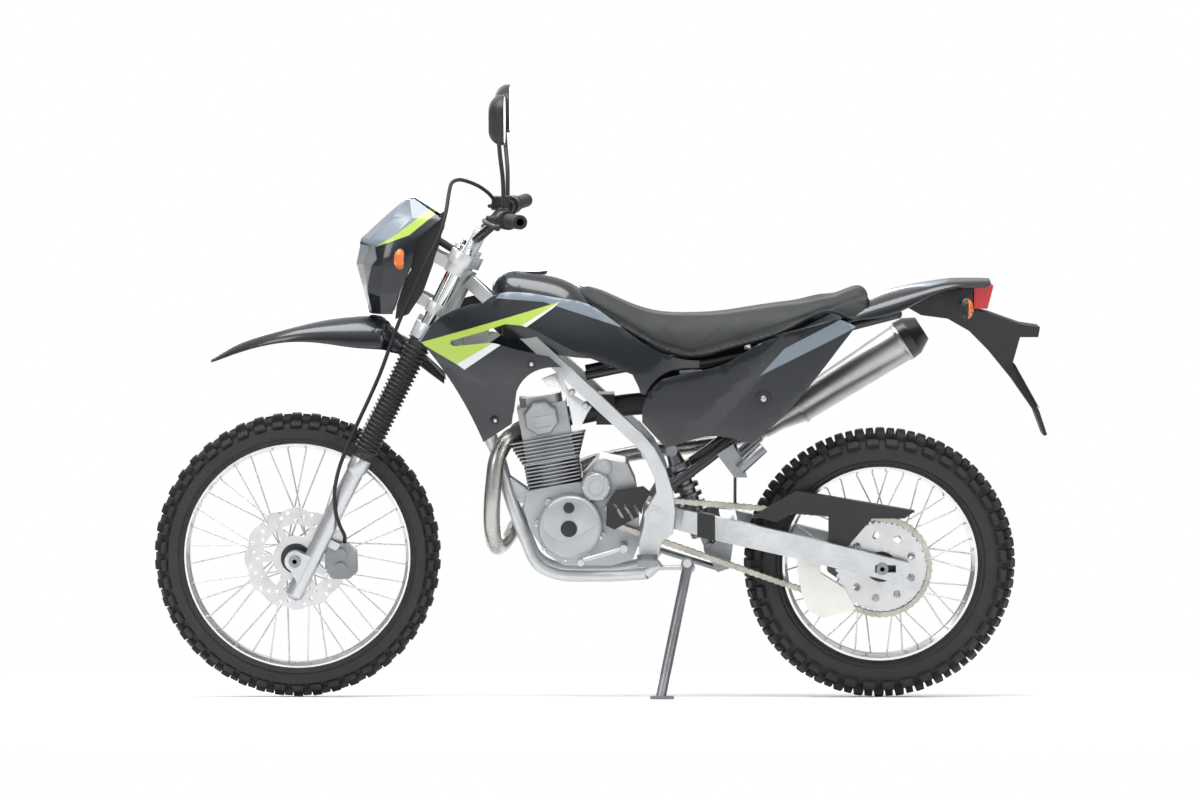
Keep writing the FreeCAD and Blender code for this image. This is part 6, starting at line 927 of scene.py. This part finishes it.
rounded_plate(stays, STAY, inner_y - STAY_WALL, STAY_WALL, edge=0.8)
for x, z in STAY_BOLTS:
    screw(bolts, Vector((x, inner_y, z)) / 1000, LEFT, 8.0)
for mesh in (bolts, plugs, lands, stays):
    bmesh.ops.recalc_face_normals(mesh, faces=mesh.faces)
    lean_over(mesh)
new_piece("engine_bolts", bolts, "main", bright_zinc)
new_piece("engine_plugs", plugs, "main", black_plastic)
new_piece("engine_lands", lands, "main", case_paint)
new_piece("head_stay", stays, "main", bright_zinc)

# Exhaust: a stainless header, straw coloured by heat near the head, and a brushed steel
# silencer with a black end cap.

# stainless header tube: silver, only slightly warmed by heat
heated_steel = finish("warmed_header_steel", "#b9b8b5", "#a6a4a0", 0.95, 0.28, 1.8, 0.008)
# brushed stainless of the silencer: lines along it 0.8 mm apart
brushed_steel = finish("brushed_silencer_steel", "#b9b9b8", "#9f9f9f", 0.95, 0.34, 0.8, 0.015, (0.05, 1, 1))
wear("exhaust_pipe", heated_steel)
wear("muffler", brushed_steel, 0.6)
wear("muffler_cap", black_paint, 0.8)

# Seat: a foam pad under one dark grey vinyl cover. The cover is filled by cloth simulation,
# rests flat on its base, and has a sewn seam drawn into its sides above the lower edge.

PAD_VOXEL = 0.005
PAD_SINK = 0.004
PAD_CAP = 0.0045
PAD_PRESSURE = 4.0
PAD_FRAMES = 20
# faces that look down more than this are the base, and stay where they are
BASE_SLOPE = -0.6
# walls that look sideways more than this take the seam
WALL_SLOPE = 0.45
# the seat's lower edge from the side, from the rear, in mm; the sewn seam follows it higher up
SEAT_EDGE = [(-700, 955), (-631, 939), (-468, 884), (-380, 853), (-241, 813), (-161, 834), (-96, 876),
             (60, 960)]
SEAM_RISE = 18.0
SEAM_HALF = 3.5
SEAM_DEPTH = 0.0024


def filled_pad(node, voxel):
    """A node's form, remeshed and drawn in, then blown up as a filled cover, flat where it rests."""
    pad = as_object("pad_form", upright_copy(node))
    grid = pad.modifiers.new("Grid", "REMESH")
    grid.mode, grid.voxel_size = "VOXEL", voxel
    pad.data = settled(pad)
    pad.modifiers.clear()
    normals = [Vector(v.normal) for v in pad.data.vertices]
    for corner, out in zip(pad.data.vertices, normals):
        if out.z > BASE_SLOPE:
            corner.co -= out * PAD_SINK
    start = [v.co.copy() for v in pad.data.vertices]
    end = [place + out * PAD_CAP for place, out in zip(start, normals)]
    cloth = pad.modifiers.new("Cloth", "CLOTH")
    cloth.settings.use_pressure = True
    cloth.settings.uniform_pressure_force = PAD_PRESSURE
    cloth.settings.effector_weights.gravity = 0.0
    for step in range(1, PAD_FRAMES + 1):
        bpy.context.scene.frame_set(step)
    end = [v.co.copy() for v in settled(pad).vertices]
    mesh = bmesh.new()
    mesh.from_mesh(pad.data)
    bpy.data.objects.remove(pad)
    for corner, place, blown_to, out in zip(mesh.verts, start, end, normals):
        move = blown_to - place
        if move.length > PAD_CAP:
            move *= PAD_CAP / move.length
        corner.co = place + (move if out.z > BASE_SLOPE else Vector())
    return mesh


def sew(mesh, line, rise, half, depth):
    """Draws a groove into a pad's sides along a line of (x, z) in mm."""
    mesh.normal_update()
    for corner in mesh.verts:
        x, z = corner.co.x * 1000, corner.co.z * 1000
        if abs(corner.normal.y) < WALL_SLOPE or not line[0][0] < x < line[-1][0]:
            continue
        a, b = next((a, b) for a, b in zip(line, line[1:]) if x <= b[0])
        off = z - rise - a[1] - (b[1] - a[1]) * (x - a[0]) / (b[0] - a[0])
        corner.co -= corner.normal * depth * math.exp(-(off / half) ** 2)


# seat vinyl: matt dark grey with a leather-like grain of about 1.5 mm
seat_vinyl = finish("grained_seat_vinyl", "#222425", "#2d3030", 0.0, 0.7, 1.5, 0.14)
cushion = filled_pad("seat", PAD_VOXEL)
sew(cushion, SEAT_EDGE, SEAM_RISE, SEAM_HALF, SEAM_DEPTH)
lean_over(cushion)
seat_pad = new_piece("seat_pad", cushion, "main", seat_vinyl, 60)
smooth = seat_pad.modifiers.new("Subdivision", "SUBSURF")
smooth.levels = smooth.render_levels = 1
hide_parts("seat")

# Studio: a pale floor that fades into a white background, soft lamps above and beside the
# machine, and a camera far off on the machine's left, as in the photograph.

FLOOR_HALF = 30.0
# the floor's shadows fade into white between these distances from the machine, in metres
FADE_START = 1.6
FADE_END = 3.4
# the camera's distance and height, and the width that the photograph shows at the machine
CAMERA_FAR = 11.0
CAMERA_UP = 0.30
PHOTO_SPAN = 2.82
SENSOR_MM = 36.0
MACHINE_MIDDLE = Vector((-0.027, 0.0, 0.708))

floor_mesh = bmesh.new()
bmesh.ops.create_grid(floor_mesh, x_segments=1, y_segments=1, size=FLOOR_HALF)
floor = as_object("studio_floor", floor_mesh)
# pale matt paper: plain, and white where it runs out of the light
floor_paint = bpy.data.materials.new("pale_floor")
floor_paint.use_nodes = True
paper = floor_paint.node_tree
paper.nodes.clear()
spot = add(paper, "ShaderNodeTexCoord")
away = add(paper, "ShaderNodeVectorMath", {0: spot.outputs["Object"]}, operation="LENGTH")
faded = add(paper, "ShaderNodeMapRange", {0: away.outputs["Value"], 1: FADE_START, 2: FADE_END},
            interpolation_type="SMOOTHSTEP")
matt = add(paper, "ShaderNodeBsdfDiffuse", {"Color": linear("#f4f4f4")})
seen = add(paper, "ShaderNodeLightPath")
bright = add(paper, "ShaderNodeMath", {0: seen.outputs["Is Camera Ray"], 1: seen.outputs["Is Glossy Ray"]},
             operation="MAXIMUM")
bright_far = add(paper, "ShaderNodeMath", {0: bright.outputs[0], 1: faded.outputs[0]}, operation="MULTIPLY")
glow = add(paper, "ShaderNodeEmission", {"Color": (1, 1, 1, 1), "Strength": 1.0})
mixed = add(paper, "ShaderNodeMixShader", {0: bright_far.outputs[0], 1: matt.outputs[0], 2: glow.outputs[0]})
add(paper, "ShaderNodeOutputMaterial", {"Surface": mixed.outputs[0]})
floor.data.materials.append(floor_paint)

world = bpy.data.worlds.new("white_studio")
bpy.context.scene.world = world
world.use_nodes = True
sky = world.node_tree
sky.nodes.clear()
ray = add(sky, "ShaderNodeLightPath")
direct = add(sky, "ShaderNodeMath", {0: ray.outputs["Is Camera Ray"], 1: ray.outputs["Is Transmission Ray"]},
             operation="MAXIMUM")
way = add(sky, "ShaderNodeTexCoord")
rise = add(sky, "ShaderNodeSeparateXYZ", {0: way.outputs["Generated"]})
# the dome is dim at the horizon and bright overhead, which gives the panels their dark sides
dome = add(sky, "ShaderNodeMapRange", {0: rise.outputs[2], 1: 0.0, 2: 0.7, 3: 0.2, 4: 0.9},
           interpolation_type="SMOOTHSTEP")
strength = add(sky, "ShaderNodeMix", {0: direct.outputs[0], 2: dome.outputs[0], 3: 1.0})
background = add(sky, "ShaderNodeBackground", {"Color": (1, 1, 1, 1), "Strength": strength.outputs[0]})
add(sky, "ShaderNodeOutputWorld", {"Surface": background.outputs[0]})


def soft_lamp(name, place, aim, width, height, watts):
    """A large soft box, turned to the machine."""
    light = bpy.data.lights.new(name, "AREA")
    light.shape = "RECTANGLE"
    light.size, light.size_y = width, height
    light.energy = watts
    lamp = bpy.data.objects.new(name, light)
    lamp.location = place
    lamp.rotation_euler = (Vector(aim) - Vector(place)).to_track_quat("-Z", "Y").to_euler()
    bpy.context.scene.collection.objects.link(lamp)


soft_lamp("overhead_box", (0.3, 0.9, 3.4), (0, 0, 0.5), 3.2, 1.6, 120)
soft_lamp("left_front_box", (2.6, 3.2, 2.3), (0.1, 0, 0.6), 1.2, 1.8, 34)
soft_lamp("left_rear_box", (-2.8, 2.8, 2.0), (-0.2, 0, 0.6), 1.0, 1.8, 22)
soft_lamp("right_box", (0.5, -3.0, 2.2), (0, 0, 0.6), 2.4, 1.4, 40)

view = bpy.data.cameras.new("photo_camera")
view.sensor_width = SENSOR_MM
view.lens = SENSOR_MM * CAMERA_FAR / PHOTO_SPAN
view.clip_end = 4 * FLOOR_HALF
camera = bpy.data.objects.new("photo_camera", view)
middle_seen = LEAN @ MACHINE_MIDDLE
camera.location = Vector((middle_seen.x, CAMERA_FAR, CAMERA_UP))
camera.rotation_euler = (middle_seen - camera.location).to_track_quat("-Z", "Y").to_euler()
bpy.context.scene.collection.objects.link(camera)
bpy.context.scene.camera = camera
bpy.context.scene.view_settings.view_transform = "Standard"
